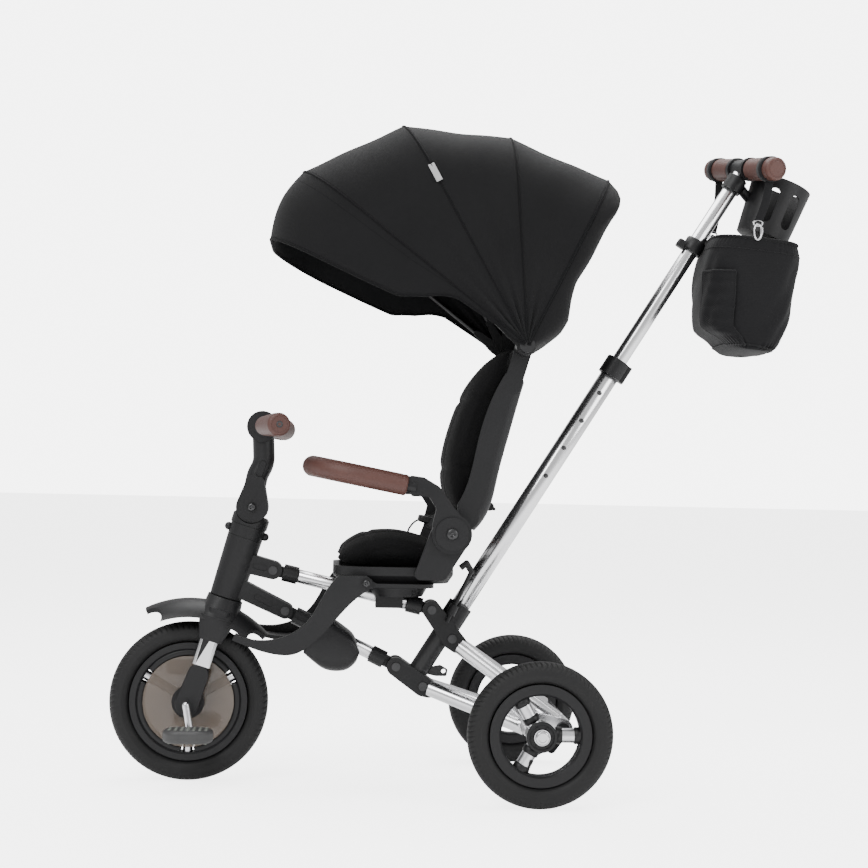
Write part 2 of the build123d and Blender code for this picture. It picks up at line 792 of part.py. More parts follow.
def build_link_castings():
    """Two cast links: each holds a frame eye in its slot and grips the upright."""
    with BuildPart() as castings:
        link(upper_rear_pivot, upper_rear_bolt, 15, 17, casting_half, -casting_half)
        link(upper_rear_bolt, at(430, 226), 17, 15, casting_half, -casting_half)
        link(lower_rear_pivot, lower_rear_bolt, 15, 16, casting_half, -casting_half)
        link(lower_rear_bolt, at(384, 153), 16, 14, casting_half, -casting_half)
        rod(push_plane.from_local_coords(Vector(0, 0, socket_low)),
            push_plane.from_local_coords(Vector(0, 0, socket_low + 44)), push_outer_r + 5)
        # boss that the fold-release rod slides in
        boss_low = beyond(release_foot, release_top, 13)
        boss_high = beyond(release_foot, release_top, 30)
        rod(space(boss_low, release_y), space(boss_high, release_y), release_r + 4)
        rod(space(boss_low, release_y), space(boss_low, -10), 4)
        rod(space(release_foot, release_y), space(release_top, release_y), release_r + run_gap, Mode.SUBTRACT)
        # slots for the eyes of the upper tube and the lower link
        for pivot in (upper_rear_pivot, lower_rear_pivot):
            for reach in ((pivot[0] - 40, pivot[1] + 12), (pivot[0] - 40, pivot[1] - 6), (pivot[0] - 24, pivot[1] + 36)):
                link(pivot, reach, 17, 17, eye_half + side_gap, -eye_half - side_gap, Mode.SUBTRACT)
            cross_rod(pivot, bolt_r + run_gap, casting_half, -casting_half, Mode.SUBTRACT)
        for bolt in (upper_rear_bolt, lower_rear_bolt):
            cross_rod(bolt, bolt_r + run_gap, casting_half, -casting_half, Mode.SUBTRACT)
        rod(push_plane.from_local_coords(Vector(0, 0, -66)),
            push_plane.from_local_coords(Vector(0, 0, outer_start)), upright_r + run_gap, Mode.SUBTRACT)
        rod(push_plane.from_local_coords(Vector(0, 0, outer_start)),
            push_plane.from_local_coords(Vector(0, 0, 120)), push_outer_r + run_gap, Mode.SUBTRACT)
        for tube in rear_tube_ends():
            rod(tube[0], tube[1], rear_tube_r + run_gap, Mode.SUBTRACT)
    return castings.part


def rear_tube_ends():
    """End points of the four rear tubes."""
    ends = []
    for face in (-1, 1):
        ends.append((space(at(434, 222), face * 19), space(at(584, 117), face * rear_spread)))
        ends.append((space(at(386, 154), face * 19), space(at(536, 102), face * (rear_spread - 14))))
    return ends


def build_upright():
    """Black tube between the two castings, in line with the push bar, with an ear for the hook."""
    with BuildPart() as upright:
        rod(push_plane.from_local_coords(Vector(0, 0, -64)),
            push_plane.from_local_coords(Vector(0, 0, outer_start - side_gap)), upright_r)
        with BuildSketch(Plane.XY) as ear:
            with BuildLine():
                Polyline(at(384, 186), at(404, 190), at(416, 183), at(414, 172), at(396, 172), at(378, 176), close=True)
            make_face()
            fillet(ear.vertices(), 3)
        extrude(side(3) * ear.sketch, amount=6)
        cross_rod(at(409, 180), 3.5, 3, -3, Mode.SUBTRACT)
        for pivot in (upper_rear_pivot, lower_rear_pivot):
            cross_rod(pivot, 19, casting_half, -casting_half, Mode.SUBTRACT)
        for bolt in (upper_rear_bolt, lower_rear_bolt):
            cross_rod(bolt, bolt_r + run_gap, casting_half + 1, -casting_half - 1, Mode.SUBTRACT)
        for tube in rear_tube_ends():
            rod(tube[0], tube[1], rear_tube_r + run_gap, Mode.SUBTRACT)
    return upright.part


def build_rear_tubes():
    """Four silver tubes that spread from the castings to the axle housing."""
    with BuildPart() as tubes:
        for tube in rear_tube_ends():
            rod(tube[0], tube[1], rear_tube_r)
        link(rear_axle, housing_rear, 20, 16, rear_spread + 24, -rear_spread - 24, Mode.SUBTRACT)
    return tubes.part


def build_axle_housing():
    """Housing across the tricycle round the rear axle."""
    with BuildPart() as housing:
        half = rear_spread + 24 - side_gap
        link(rear_axle, housing_rear, 20 - run_gap, 16 - run_gap, half, -half)
        cross_rod(rear_axle, 14, rear_track / 2 - hub_half - 3, -rear_track / 2 + hub_half + 3)
        cross_rod(rear_axle, axle_r + run_gap, rear_track / 2, -rear_track / 2, Mode.SUBTRACT)
        cross_rod(housing_rear, 4 + run_gap, half, -half, Mode.SUBTRACT)
    return housing.part


axle_overhang = 8


def build_rear_axle():
    """Steel axle with a capped nut outside each wheel."""
    end = rear_track / 2 + hub_half + 1
    with BuildPart() as axle:
        cross_rod(rear_axle, axle_r, end + axle_overhang, -end - axle_overhang)
        for face in (-1, 1):
            cross_rod(rear_axle, 12, face * end, face * (end + 4))
            with BuildSketch(side(face * (end + 4))):
                with Locations(rear_axle):
                    RegularPolygon(9.5, 6)
            extrude(amount=-face * 5)
    return axle.part


def build_brake_pedal():
    """Foot lever hinged on the rear of the axle housing, with an arm at each side and a tread between."""
    with BuildPart() as brake:
        inner = rear_spread + 24
        tread = at(572, 76)
        for face in (-1, 1):
            low, high = sorted((face * inner, face * (inner + 7)))
            link(housing_rear, tread, 10, 7, high, low)
        link(tread, at(552, 79), 5, 4, inner + 7, -inner - 7)
        cross_rod(housing_rear, 4, inner + 7, -inner - 7)
    return brake.part


def build_push_outer_tube():
    """Outer tube of the push bar, with three height holes on each side."""
    with BuildPart() as tube:
        start = push_plane.from_local_coords(Vector(0, 0, outer_start))
        end = push_plane.from_local_coords(Vector(0, 0, outer_start + outer_length))
        rod(start, end, push_outer_r)
        rod(start, end, push_inner_r + 0.1, Mode.SUBTRACT)
        for step in range(3):
            hole = push_plane.from_local_coords(Vector(0, 0, outer_start + outer_length - 56 - 62 * step))
            cross_rod((hole.X, hole.Z), 3.5, 0, -30, Mode.SUBTRACT)
    return tube.part


def build_push_collar():
    """Collar round the top of the outer tube, with a clamp screw boss behind it."""
    with BuildPart() as collar:
        with BuildSketch(up_push(collar_low)):
            Circle(push_outer_r + 5)
            with Locations((push_outer_r + 3, 0)):
                RectangleRounded(12, 18, 3)
        extrude(amount=collar_t)
        fillet(collar.edges().group_by(Axis.Z)[-1], 1.5)
        rod(push_plane.from_local_coords(Vector(0, 0, 0)),
            push_plane.from_local_coords(Vector(0, 0, outer_start + outer_length)), push_outer_r, Mode.SUBTRACT)
        rod(push_plane.from_local_coords(Vector(0, 0, 0)),
            push_plane.from_local_coords(Vector(0, 0, collar_low + 60)), push_inner_r + 0.1, Mode.SUBTRACT)
    return collar.part


def build_fold_release():
    """Release rod beside the push bar, with a bent grip at its top."""
    foot = release_foot
    top = release_top
    with BuildPart() as release:
        rod(space(foot, release_y), space(top, release_y), release_r)
        with Locations(space(top, release_y)):
            Sphere(release_r + 1.5)
        hook = at(441, 357)
        rod(space(top, release_y), space(hook, release_y), release_r + 1.5)
        with Locations(space(hook, release_y)):
            Sphere(release_r + 1.5)
        rod(space(hook, release_y), space(at(431, 349), release_y), release_r + 1.5)
    return release.part


# ==== push bar ====
handle_turn_deg = 17
handle_half = 112
handle_grip_r = 18.5
handle_grip_span = 84
tee_r = 16
handle_plane = up_push(handle_at)


def handle_point(across, ahead=0):
    """Point on the handle: across it from the tee, the handle being turned about the push bar."""
    turn = radians(handle_turn_deg)
    return handle_plane.from_local_coords(Vector(-across * sin(turn), across * cos(turn), ahead))


def build_push_inner_tube():
    """Inner tube of the push bar, from inside the outer tube up to the tee."""
    with BuildPart() as tube:
        rod(push_plane.from_local_coords(Vector(0, 0, outer_start + outer_length - inner_drop)),
            push_plane.from_local_coords(Vector(0, 0, handle_at - tee_r)), push_inner_r)
        rod(push_plane.from_local_coords(Vector(0, 0, outer_start + outer_length - inner_drop)),
            push_plane.from_local_coords(Vector(0, 0, handle_at - tee_r)), push_inner_r - 1.5, Mode.SUBTRACT)
        end = push_plane.from_local_coords(Vector(0, 0, handle_at - tee_r))
        rod(end, push_plane.from_local_coords(Vector(0, 0, handle_at - tee_r - 4)), push_inner_r)
        rod(handle_point(-handle_half), handle_point(handle_half), tee_r - 0.1, Mode.SUBTRACT)
    return tube.part


def build_handle_tee():
    """Black tee with the handle's core and a band at the inner end of each grip."""
    with BuildPart() as tee:
        rod(handle_point(-24), handle_point(24), tee_r)
        rod(handle_point(-handle_half + 4), handle_point(handle_half - 4), 10)
        for face in (-1, 1):
            rod(handle_point(face * 20), handle_point(face * 27.5), handle_grip_r + 1)
    return tee.part


def build_handle_grips():
    """Two stitched grips on the handle's core."""
    with BuildPart() as grips:
        for face in (-1, 1):
            rod(handle_point(face * 28), handle_point(face * (28 + handle_grip_span)), handle_grip_r)
        fillet(grips.edges().filter_by(GeomType.CIRCLE), 5)
        rod(handle_point(-handle_half + 4), handle_point(handle_half - 4), 10, Mode.SUBTRACT)
    return grips.part


cup_base_r = 43
cup_wall = 2.5
cup_y = 12
cup_base = Plane(origin=space(at(cup_behind, 903), cup_y), x_dir=(cos(radians(cup_lean_deg)), 0, -sin(radians(cup_lean_deg))),
                 z_dir=(sin(radians(cup_lean_deg)), 0, cos(radians(cup_lean_deg))))
cup_ring_at = handle_at - tee_r - 26
cup_ring_t = 24


def build_cup_holder():
    """Tapered cup with a slot window on each side and a bracket to a ring round the push bar."""
    with BuildPart() as cup:
        with BuildSketch(cup_base):
            Circle(cup_base_r)
        with BuildSketch(cup_base.offset(cup_height)):
            Circle(cup_top_r)
        loft()
        arm_from = cup_base.from_local_coords(Vector(-cup_base_r + 2, 0, cup_height - 42))
        arm_to = push_plane.from_local_coords(Vector(push_inner_r + 2, 0, cup_ring_at + cup_ring_t / 2))
        rod(arm_from, arm_to, 8)
        rod(push_plane.from_local_coords(Vector(0, 0, cup_ring_at)),
            push_plane.from_local_coords(Vector(0, 0, cup_ring_at + cup_ring_t)), push_inner_r + 4)
        rod(push_plane.from_local_coords(Vector(0, 0, cup_ring_at - 20)),
            push_plane.from_local_coords(Vector(0, 0, cup_ring_at + cup_ring_t + 20)), push_inner_r, Mode.SUBTRACT)
        with BuildSketch(cup_base.offset(cup_wall)):
            Circle(cup_base_r - cup_wall)
        with BuildSketch(cup_base.offset(cup_height + 1)):
            Circle(cup_top_r - cup_wall)
        loft(mode=Mode.SUBTRACT)
        for window_x in (-14, 22):
            window = Plane(origin=cup_base.from_local_coords(Vector(window_x, 0, cup_height / 2)),
                           x_dir=cup_base.z_dir, z_dir=(0, -1, 0))
            with BuildSketch(window):
                SlotOverall(58, 17)
            extrude(amount=70, mode=Mode.SUBTRACT)
    return cup.part


bag_half = 84
bag_wall = 4


def bag_outline():
    """Side outline of the bag, as points round it."""
    return (at(834, 899), at(968, 884), at(972, 828), at(958, 765), at(935, 713), at(886, 705), at(838, 734),
            at(813, 756), at(809, 848))


def build_bag():
    """Open-topped fabric bag hanging behind the push bar."""
    corners = bag_outline()
    with BuildPart() as bag:
        with BuildSketch(side(bag_half)):
            with BuildLine():
                Polyline(*corners, close=True)
            make_face()
        extrude(amount=2 * bag_half)
        fillet(bag.edges().filter_by(Axis.Y).sort_by(Axis.Z)[:5], 12)
        with BuildSketch(side(bag_half - bag_wall)):
            with BuildLine():
                Polyline(at(838.5, 905), at(963.5, 895), at(967, 828), at(953, 767), at(932, 718), at(887, 710),
                         at(841, 738), at(818, 759), at(814, 848), close=True)
            make_face()
        extrude(amount=2 * (bag_half - bag_wall), mode=Mode.SUBTRACT)
        # notch round the push bar at the bag's front
        rod(push_plane.from_local_coords(Vector(0, 0, 560)),
            push_plane.from_local_coords(Vector(0, 0, handle_at)), push_inner_r + 8, Mode.SUBTRACT)
    return bag.part


band_at = 82
band_t = 14
strap_w = 13
strap_t = 2


def build_bag_straps():
    """Clip collar on the push bar, a band round each grip, and a strap from each band down to the bag."""
    with BuildPart() as straps:
        with BuildSketch(up_push(bag_collar_at - 11)):
            Circle(push_inner_r + 5)
        extrude(amount=22)
        rod(push_plane.from_local_coords(Vector(0, 0, bag_collar_at - 30)),
            push_plane.from_local_coords(Vector(0, 0, bag_collar_at + 30)), push_inner_r, Mode.SUBTRACT)
        for face, rim_point in ((-1, at(894, 893.5)), (1, at(856, 897.5))):
            inner = handle_point(face * band_at)
            outer = handle_point(face * (band_at + band_t))
            rod(inner, outer, handle_grip_r + 2.2)
            top = handle_point(face * (band_at + band_t / 2))
            head = Vector(top.X, top.Y, top.Z - handle_grip_r)
            foot = space(rim_point, face * (bag_half - bag_wall / 2))
            drop = foot - head
            with BuildSketch(Plane(origin=head, x_dir=(1, 0, -drop.X / drop.Z * -1), z_dir=drop)):
                Rectangle(strap_w, strap_t)
            extrude(amount=drop.length - 0.5)
            rod(inner - (outer - inner), outer + (outer - inner), handle_grip_r + 0.2, Mode.SUBTRACT)
    return straps.part


# ==== safety bar ====
arm_in = seat_half + bracket_t + side_gap
arm_out = arm_in + arm_t
wrap_rear = at(338, 480)
wrap_front = at(191, 508)
bar_side = (arm_in + arm_out) / 2


def bar_loop_points():
    """U-shaped centre line of the safety bar, sloping up to the front."""
    return [space(at(352, 478), -bar_side), space(wrap_front, -bar_side), space(wrap_front, bar_side),
            space(at(352, 478), bar_side)]


def build_safety_bar():
    """Two hub discs with curved arms, joined by a bar round the front."""
    with BuildPart() as bar:
        points = bar_loop_points()
        with BuildLine():
            path = FilletPolyline(*points, radius=70)
        with BuildSketch(Plane(origin=path @ 0, z_dir=path % 0)):
            Circle(bar_tube_r)
        sweep()
        for face in (-1, 1):
            low, high = sorted((face * arm_in, face * arm_out))
            with BuildSketch(Plane.XY) as outline:
                with BuildLine():
                    Polyline(at(340, 497), at(364, 494), at(388, 480), at(408, 452), at(428, 428), at(392, 386),
                             at(378, 420), at(384, 446), at(372, 464), at(344, 464), close=True)
                make_face()
                fillet(outline.vertices(), 5)
            extrude(side(high) * outline.sketch, amount=high - low)
            cross_rod(seat_hub, hub_disc_r, low, high)
            cross_rod(seat_hub, hub_disc_r - 5, face * arm_out, face * (arm_out + 3))
            cross_rod(seat_hub, axle_r, face * (seat_half - 6), face * arm_in)
    return bar.part


def build_bar_wrap():
    """Padded wrap over the front of the safety bar."""
    with BuildPart() as wrap:
        points = bar_loop_points()
        rear = space(at(337, 481), 0)
        points[0] = Vector(rear.X, -bar_side, rear.Z)
        points[3] = Vector(rear.X, bar_side, rear.Z)
        with BuildLine():
            path = FilletPolyline(*points, radius=70)
        with BuildSketch(Plane(origin=path @ 0, z_dir=path % 0)):
            Circle(wrap_r)
            Circle(bar_tube_r + 0.3, mode=Mode.SUBTRACT)
        sweep()
    return wrap.part


# ==== backrest ====
back_wall = 6
lever_pivot = at(476, 449)
lug_in = 24.5


def build_backrest_shell():
    """Bucket-shaped shell with an ear on each side at the hub and a bracket at the top for the canopy."""
    with BuildPart() as shell:
        with BuildSketch(side(back_half)):
            with BuildLine():
                Spline(at(446, 412), at(466, 440), at(482, 500), at(497, 560), at(520, 645))
                Polyline(at(520, 645), at(514, 662), at(490, 660))
                Spline(at(490, 660), at(466, 612), at(450, 560), at(436, 495), at(418, 452))
                Polyline(at(418, 452), at(420, 424), at(446, 412))
            make_face()
        extrude(amount=2 * back_half)
        fillet(shell.edges().filter_by(GeomType.BSPLINE).sort_by(Axis.X)[-2:], 14)
        with BuildSketch(side(back_half - back_wall)):
            with BuildLine():
                Spline(at(434, 405), at(456, 440), at(473, 500), at(488, 560), at(512, 652))
                Polyline(at(512, 652), at(505, 700), at(380, 700), at(380, 405), at(434, 405))
            make_face()
        extrude(amount=2 * (back_half - back_wall), mode=Mode.SUBTRACT)
        for face in (-1, 1):
            low, high = sorted((face * (back_half - back_wall), face * back_half))
            link(seat_hub, at(436, 432), 14, 16, high, low)
            link(at(500, 640), canopy_pivot, 14, 14, high, low)
            cross_rod(seat_hub, axle_r + run_gap, low, high, Mode.SUBTRACT)
            # lug for the recline lever's pin
            lug_low, lug_high = sorted((face * lug_in, face * (lug_in + 6)))
            link(at(466, 454), lever_pivot, 8, 7, lug_high, lug_low)
            cross_rod(lever_pivot, bolt_r + run_gap, lug_low, lug_high, Mode.SUBTRACT)
    return shell.part


def build_backrest_cushion():
    """Padded back cushion standing proud of the shell."""
    with BuildPart() as cushion:
        with BuildSketch(side(back_half - back_wall - 4)):
            with BuildLine():
                Spline(at(412, 446), at(399, 492), at(401, 541), at(416, 597), at(438, 646), at(474, 688), at(505, 712))
                Line(at(505, 712), at(509, 668))
                Spline(at(509, 668), at(484, 563), at(468, 502), at(451, 443), at(436, 424))
                Line(at(436, 424), at(412, 446))
            make_face()
        extrude(amount=2 * (back_half - back_wall - 4))
    return cushion.part


def build_recline_lever():
    """Lever behind the backrest that lets it lean back."""
    with BuildPart() as lever:
        link(lever_pivot, at(484, 445), 5, 2.5, lug_in - side_gap, side_gap - lug_in)
        cross_rod(lever_pivot, bolt_r, lug_in + 5, -lug_in - 5)
    return lever.part


# ==== footrest ====
foot_in = ear_out + 0.5
foot_t = 13
pad_in = 70


def build_footrest():
    """Curved arm on each side with a foot pad reaching inwards, joined under the seat by a cross rod."""
    with BuildPart() as rest:
        for face in (-1, 1):
            low, high = sorted((face * foot_in, face * (foot_in + foot_t)))
            with BuildSketch(side(high)):
                with BuildLine():
                    Spline(at(236, 340), at(218, 318), at(190, 270), at(158, 246), at(122, 238), at(78, 246))
                    Line(at(78, 246), at(74, 238))
                    Spline(at(74, 238), at(106, 226), at(142, 217), at(170, 218), at(194, 232), at(222, 260),
                           at(250, 292), at(286, 321))
                    Polyline(at(286, 321), at(287, 334), at(278, 340), at(236, 340))
                make_face()
            extrude(amount=high - low)
            pad_low, pad_high = sorted((face * pad_in, face * (foot_in + 1)))
            with BuildSketch(side(pad_high)):
                with BuildLine():
                    Spline(at(198, 243), at(170, 229), at(142, 226), at(106, 232), at(76, 243))
                    Line(at(76, 243), at(76, 237))
                    Spline(at(76, 237), at(106, 226), at(142, 219), at(170, 221), at(200, 238))
                    Line(at(200, 238), at(198, 243))
                make_face()
            extrude(amount=pad_high - pad_low)
            cross_rod(footrest_pivot, bolt_r, face * ear_in, face * foot_in)
            cross_rod(footrest_pivot, bolt_head_r, face * (foot_in + foot_t), face * (foot_in + foot_t + 3))
    return rest.part


# ==== canopy ====
hoop_angles = {"rear": 64, "upper_rear": 94.4, "upper_front": 119.5, "front": 142.5, "visor": 158}
hoop_reach = {"rear": 302, "upper_rear": 335.5, "upper_front": 399.5, "front": 443.5, "visor": 434}
hoop_start = 68
hoop_arm_t = 2


def hoop_plane(name):
    """Plane of one hoop: local x across the tricycle, local y outwards from the pivot."""
    angle = radians(hoop_angles[name])
    outward = (cos(angle), 0, sin(angle))
    across = (0, 1, 0)
    normal = Vector(*across).cross(Vector(*outward))
    return Plane(origin=space(canopy_pivot, 0), x_dir=across, z_dir=normal)


def hoop_face(reach, half, start, corner, band):
    """Arch-shaped band: two legs joined by a rounded top."""
    with BuildSketch(Plane.XY) as arch:
        with BuildLine():
            Polyline((-half, start), (-half, reach - corner))
            RadiusArc((-half, reach - corner), (-half + corner, reach), corner)
            Line((-half + corner, reach), (half - corner, reach))
            RadiusArc((half - corner, reach), (half, reach - corner), corner)
            Polyline((half, reach - corner), (half, start), (half - band, start), (half - band, reach - corner))
            RadiusArc((half - band, reach - corner), (half - corner, reach - band), -(corner - band))
            Line((half - corner, reach - band), (-half + corner, reach - band))
            RadiusArc((-half + corner, reach - band), (-half + band, reach - corner), -(corner - band))
            Polyline((-half + band, reach - corner), (-half + band, start), (-half, start))
        make_face()
    return arch.sketch


canopy_corner = 95
hoop_clear = hoop_r + 1.5


def hoop_point(name, distance):
    """Point in the side view, in a hoop's plane, at a distance out from the canopy pivot."""
    angle = radians(hoop_angles[name])
    return (canopy_pivot[0] + distance * cos(angle), canopy_pivot[1] + distance * sin(angle))


def build_hoop(name):
    """Bent wire hoop just inside the fabric, on a flat arm at each side; the arms stack along the pivot pin."""
    inset = fabric_t + skin_gap + hoop_r
    half = canopy_half - inset
    reach = hoop_reach[name] - inset
    corner = canopy_corner - inset
    layer = back_half + 26 + list(hoop_angles).index(name) * (hoop_arm_t + side_gap)
    foot = hoop_point(name, hoop_start)
    with BuildPart() as hoop:
        with BuildLine(hoop_plane(name)):
            first = Line((-half, hoop_start), (-half, reach - corner))
            RadiusArc(first @ 1, (-half + corner, reach), corner)
            Line((-half + corner, reach), (half - corner, reach))
            RadiusArc((half - corner, reach), (half, reach - corner), corner)
            Line((half, reach - corner), (half, hoop_start))
        with BuildSketch(Plane(origin=first @ 0, z_dir=first % 0)):
            Circle(hoop_r)
        sweep()
        for face in (-1, 1):
            low, high = sorted((face * layer, face * (layer + hoop_arm_t)))
            link(canopy_pivot, foot, 12, 5, high, low)
            cross_rod(foot, 5, face * layer, face * (half + 2))
            cross_rod(canopy_pivot, axle_r + run_gap, low, high, Mode.SUBTRACT)
    return hoop.part


def build_canopy_panel(first, second, start=60):
    """Fabric panel between two hoops, as a thin closed shell."""
    with BuildPart() as panel:
        for name, shift in ((first, -hoop_clear), (second, hoop_clear)):
            plane = hoop_plane(name).offset(shift)
            add(plane * hoop_face(hoop_reach[name], canopy_half, start, canopy_corner, fabric_t))
        loft(ruled=True)
    return panel.part


def build_back_curtain():
    """Fabric sheet that closes the rear of the canopy."""
    reach = hoop_reach["rear"]
    start = 60
    with BuildPart() as curtain:
        with BuildSketch(hoop_plane("rear").offset(hoop_clear)):
            with Locations((0, (reach + start) / 2)):
                RectangleRounded(2 * canopy_half, reach - start, canopy_corner)
        extrude(amount=fabric_t)
    return curtain.part


def build_rear_hoop():
    """Rear hoop with the hubs and pivot pins that every hoop turns on, fixed to the backrest's brackets."""
    pin_end = canopy_half - 2
    with BuildPart() as hubs:
        add(build_hoop("rear"))
        for face in (-1, 1):
            cross_rod(canopy_pivot, 15, face * (back_half + side_gap), face * (back_half + 26))
            cross_rod(canopy_pivot, axle_r, face * (back_half + 20), face * pin_end)
            cross_rod(canopy_pivot, 12, face * (pin_end - 3), face * pin_end)
    return hubs.part


# ==== write every piece ====
save(build_upper_tube(), "upper_tube")
save(build_frame_castings(), "frame_castings")
save(build_seat_shell(), "seat_shell")
save(build_seat_cushion(), "seat_cushion")
save(build_harness(), "harness")
save(build_head_tube(), "head_tube")
save(build_pivot_bolts((upper_front_pivot, lower_front_pivot), lug_half), "front_pivot_bolts")
save(build_lower_tube(), "lower_tube")
save(build_lower_sleeves(), "lower_sleeves")
save(build_rest_pad(), "rest_pad")
save(build_fork(), "fork")
save(build_dropout_caps(), "dropout_caps")
save(build_mudguard(), "mudguard")
save(build_lock_ring(), "steering_lock_ring")
save(build_stem_base(), "stem_base")
save(build_stem(), "stem")
save(build_stem_button(), "stem_button")
save(build_handlebar(), "handlebar")
save(build_bar_grips(), "handlebar_grips")
front_r = front_wheel_d / 2
save(build_tyre(front_axle, 0, front_r, front_rim_seat_r, front_tyre_half), "front_tyre")
save(build_wheel(front_axle, 0, front_rim_seat_r, front_rim_inner_r, front_tyre_half, front_hub_r, spoke_r, 30,
                 axle_r + run_gap), "front_wheel")
save(build_front_discs(), "front_wheel_discs")
save(build_crankshaft(), "crankshaft")
for hand, face in (("left", -1), ("right", 1)):
    wheel_y = face * rear_track / 2
    save(build_pedal(face), f"pedal_{hand}")
    save(build_tyre(rear_axle, wheel_y, rear_axle_z, rear_rim_seat_r, rear_tyre_half), f"rear_tyre_{hand}")
    save(build_wheel(rear_axle, wheel_y, rear_rim_seat_r, rear_rim_inner_r, rear_tyre_half, 20, rear_spoke_r, 0,
                     axle_r + run_gap), f"rear_wheel_{hand}")
save(build_link_castings(), "link_castings")
save(build_pivot_bolts((upper_rear_pivot, lower_rear_pivot, upper_rear_bolt, lower_rear_bolt), casting_half),
     "rear_pivot_bolts")
save(build_upright(), "upright_tube")
save(build_rear_tubes(), "rear_tubes")
save(build_axle_housing(), "axle_housing")
save(build_rear_axle(), "rear_axle")
save(build_brake_pedal(), "brake_pedal")
save(build_push_outer_tube(), "push_outer_tube")
save(build_push_collar(), "push_collar")
save(build_fold_release(), "fold_release")
save(build_push_inner_tube(), "push_inner_tube")
save(build_handle_tee(), "handle_tee")
save(build_handle_grips(), "handle_grips")
save(build_cup_holder(), "cup_holder")
save(build_bag(), "bag")
save(build_bag_straps(), "bag_straps")
save(build_safety_bar(), "safety_bar")
save(build_bar_wrap(), "bar_wrap")
save(build_backrest_shell(), "backrest_shell")
save(build_backrest_cushion(), "backrest_cushion")
save(build_recline_lever(), "recline_lever")
save(build_footrest(), "footrest")
save(build_rear_hoop(), "canopy_hoop_rear")
save(build_hoop("upper_rear"), "canopy_hoop_upper_rear")
save(build_hoop("upper_front"), "canopy_hoop_upper_front")
save(build_hoop("front"), "canopy_hoop_front")
save(build_back_curtain(), "canopy_back_curtain")
save(build_canopy_panel("rear", "upper_rear"), "canopy_panel_rear")
save(build_canopy_panel("upper_rear", "upper_front"), "canopy_panel_top")
save(build_canopy_panel("upper_front", "front"), "canopy_panel_front")
save(build_canopy_panel("front", "visor", start=205), "canopy_visor")
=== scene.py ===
import math

import bmesh
import bpy
import numpy as np
from mathutils import Matrix, Vector


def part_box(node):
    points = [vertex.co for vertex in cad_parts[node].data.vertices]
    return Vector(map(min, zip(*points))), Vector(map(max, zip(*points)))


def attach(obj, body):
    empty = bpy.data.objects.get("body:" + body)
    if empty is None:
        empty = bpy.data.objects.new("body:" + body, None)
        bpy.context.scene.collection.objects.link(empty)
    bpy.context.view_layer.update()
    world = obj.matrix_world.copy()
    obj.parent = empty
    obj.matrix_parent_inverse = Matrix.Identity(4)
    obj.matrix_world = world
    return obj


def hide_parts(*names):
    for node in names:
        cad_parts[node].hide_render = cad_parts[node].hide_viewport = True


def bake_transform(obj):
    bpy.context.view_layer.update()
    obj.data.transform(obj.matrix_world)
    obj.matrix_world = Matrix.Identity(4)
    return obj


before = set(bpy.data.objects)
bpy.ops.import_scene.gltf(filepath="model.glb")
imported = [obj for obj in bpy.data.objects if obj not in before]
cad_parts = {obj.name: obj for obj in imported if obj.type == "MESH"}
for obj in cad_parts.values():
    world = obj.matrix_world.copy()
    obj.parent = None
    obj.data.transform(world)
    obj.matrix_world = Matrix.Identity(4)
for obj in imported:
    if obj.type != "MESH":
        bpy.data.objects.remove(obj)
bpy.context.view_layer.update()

# ---- camera, floor and light ----
# A long lens a little below the height of the push bar looks square at the tricycle's left side.
# The floor is a wide pale sheet, and two soft boxes and a pale sky light it evenly.
CAMERA_PLACE = (-0.210, -2.729, 0.496)
CAMERA_YAW, CAMERA_PITCH, CAMERA_ROLL = (math.radians(a) for a in (3.31, -1.44, 1.26))
look = Vector((math.sin(CAMERA_YAW) * math.cos(CAMERA_PITCH),
               math.cos(CAMERA_YAW) * math.cos(CAMERA_PITCH), -math.sin(CAMERA_PITCH)))
level_right = Vector((math.cos(CAMERA_YAW), -math.sin(CAMERA_YAW), 0))
level_up = level_right.cross(look)
camera_right = level_right * math.cos(CAMERA_ROLL) + level_up * math.sin(CAMERA_ROLL)
camera_up = level_up * math.cos(CAMERA_ROLL) - level_right * math.sin(CAMERA_ROLL)
camera_data = bpy.data.cameras.new("camera")
camera_data.lens = 69.6
camera_data.sensor_width = 36
camera = bpy.data.objects.new("camera", camera_data)
camera.matrix_world = Matrix.Translation(CAMERA_PLACE) @ Matrix(
    (camera_right, camera_up, -look)).transposed().to_4x4()
bpy.context.scene.collection.objects.link(camera)
bpy.context.scene.camera = camera


def soft_box(name, place, aim, size, power):
    """Square area light at a place, turned towards a point."""
    data = bpy.data.lights.new(name, "AREA")
    data.shape = "SQUARE"
    data.size = size
    data.energy = power
    lamp = bpy.data.objects.new(name, data)
    lamp.location = place
    lamp.rotation_euler = (Vector(aim) - Vector(place)).to_track_quat("-Z", "Y").to_euler()
    bpy.context.scene.collection.objects.link(lamp)


soft_box("key_light", (-1.6, -2.2, 2.6), (0, 0, 0.45), 1.6, 75)
soft_box("fill_light", (2.2, -1.6, 1.5), (0, 0, 0.5), 1.4, 30)
soft_box("top_light", (0.1, 0.5, 3.0), (0, 0, 0.4), 2.2, 95)
world = bpy.data.worlds.new("studio")
world.use_nodes = True
sky = world.node_tree.nodes["Background"]
sky.inputs["Color"].default_value = (1, 1, 1, 1)
seen = world.node_tree.nodes.new("ShaderNodeLightPath")
sky_level = world.node_tree.nodes.new("ShaderNodeMapRange")
sky_level.inputs["To Min"].default_value = 0.75
sky_level.inputs["To Max"].default_value = 6.0
world.node_tree.links.new(seen.outputs["Is Camera Ray"], sky_level.inputs["Value"])
world.node_tree.links.new(sky_level.outputs["Result"], sky.inputs["Strength"])
bpy.context.scene.world = world


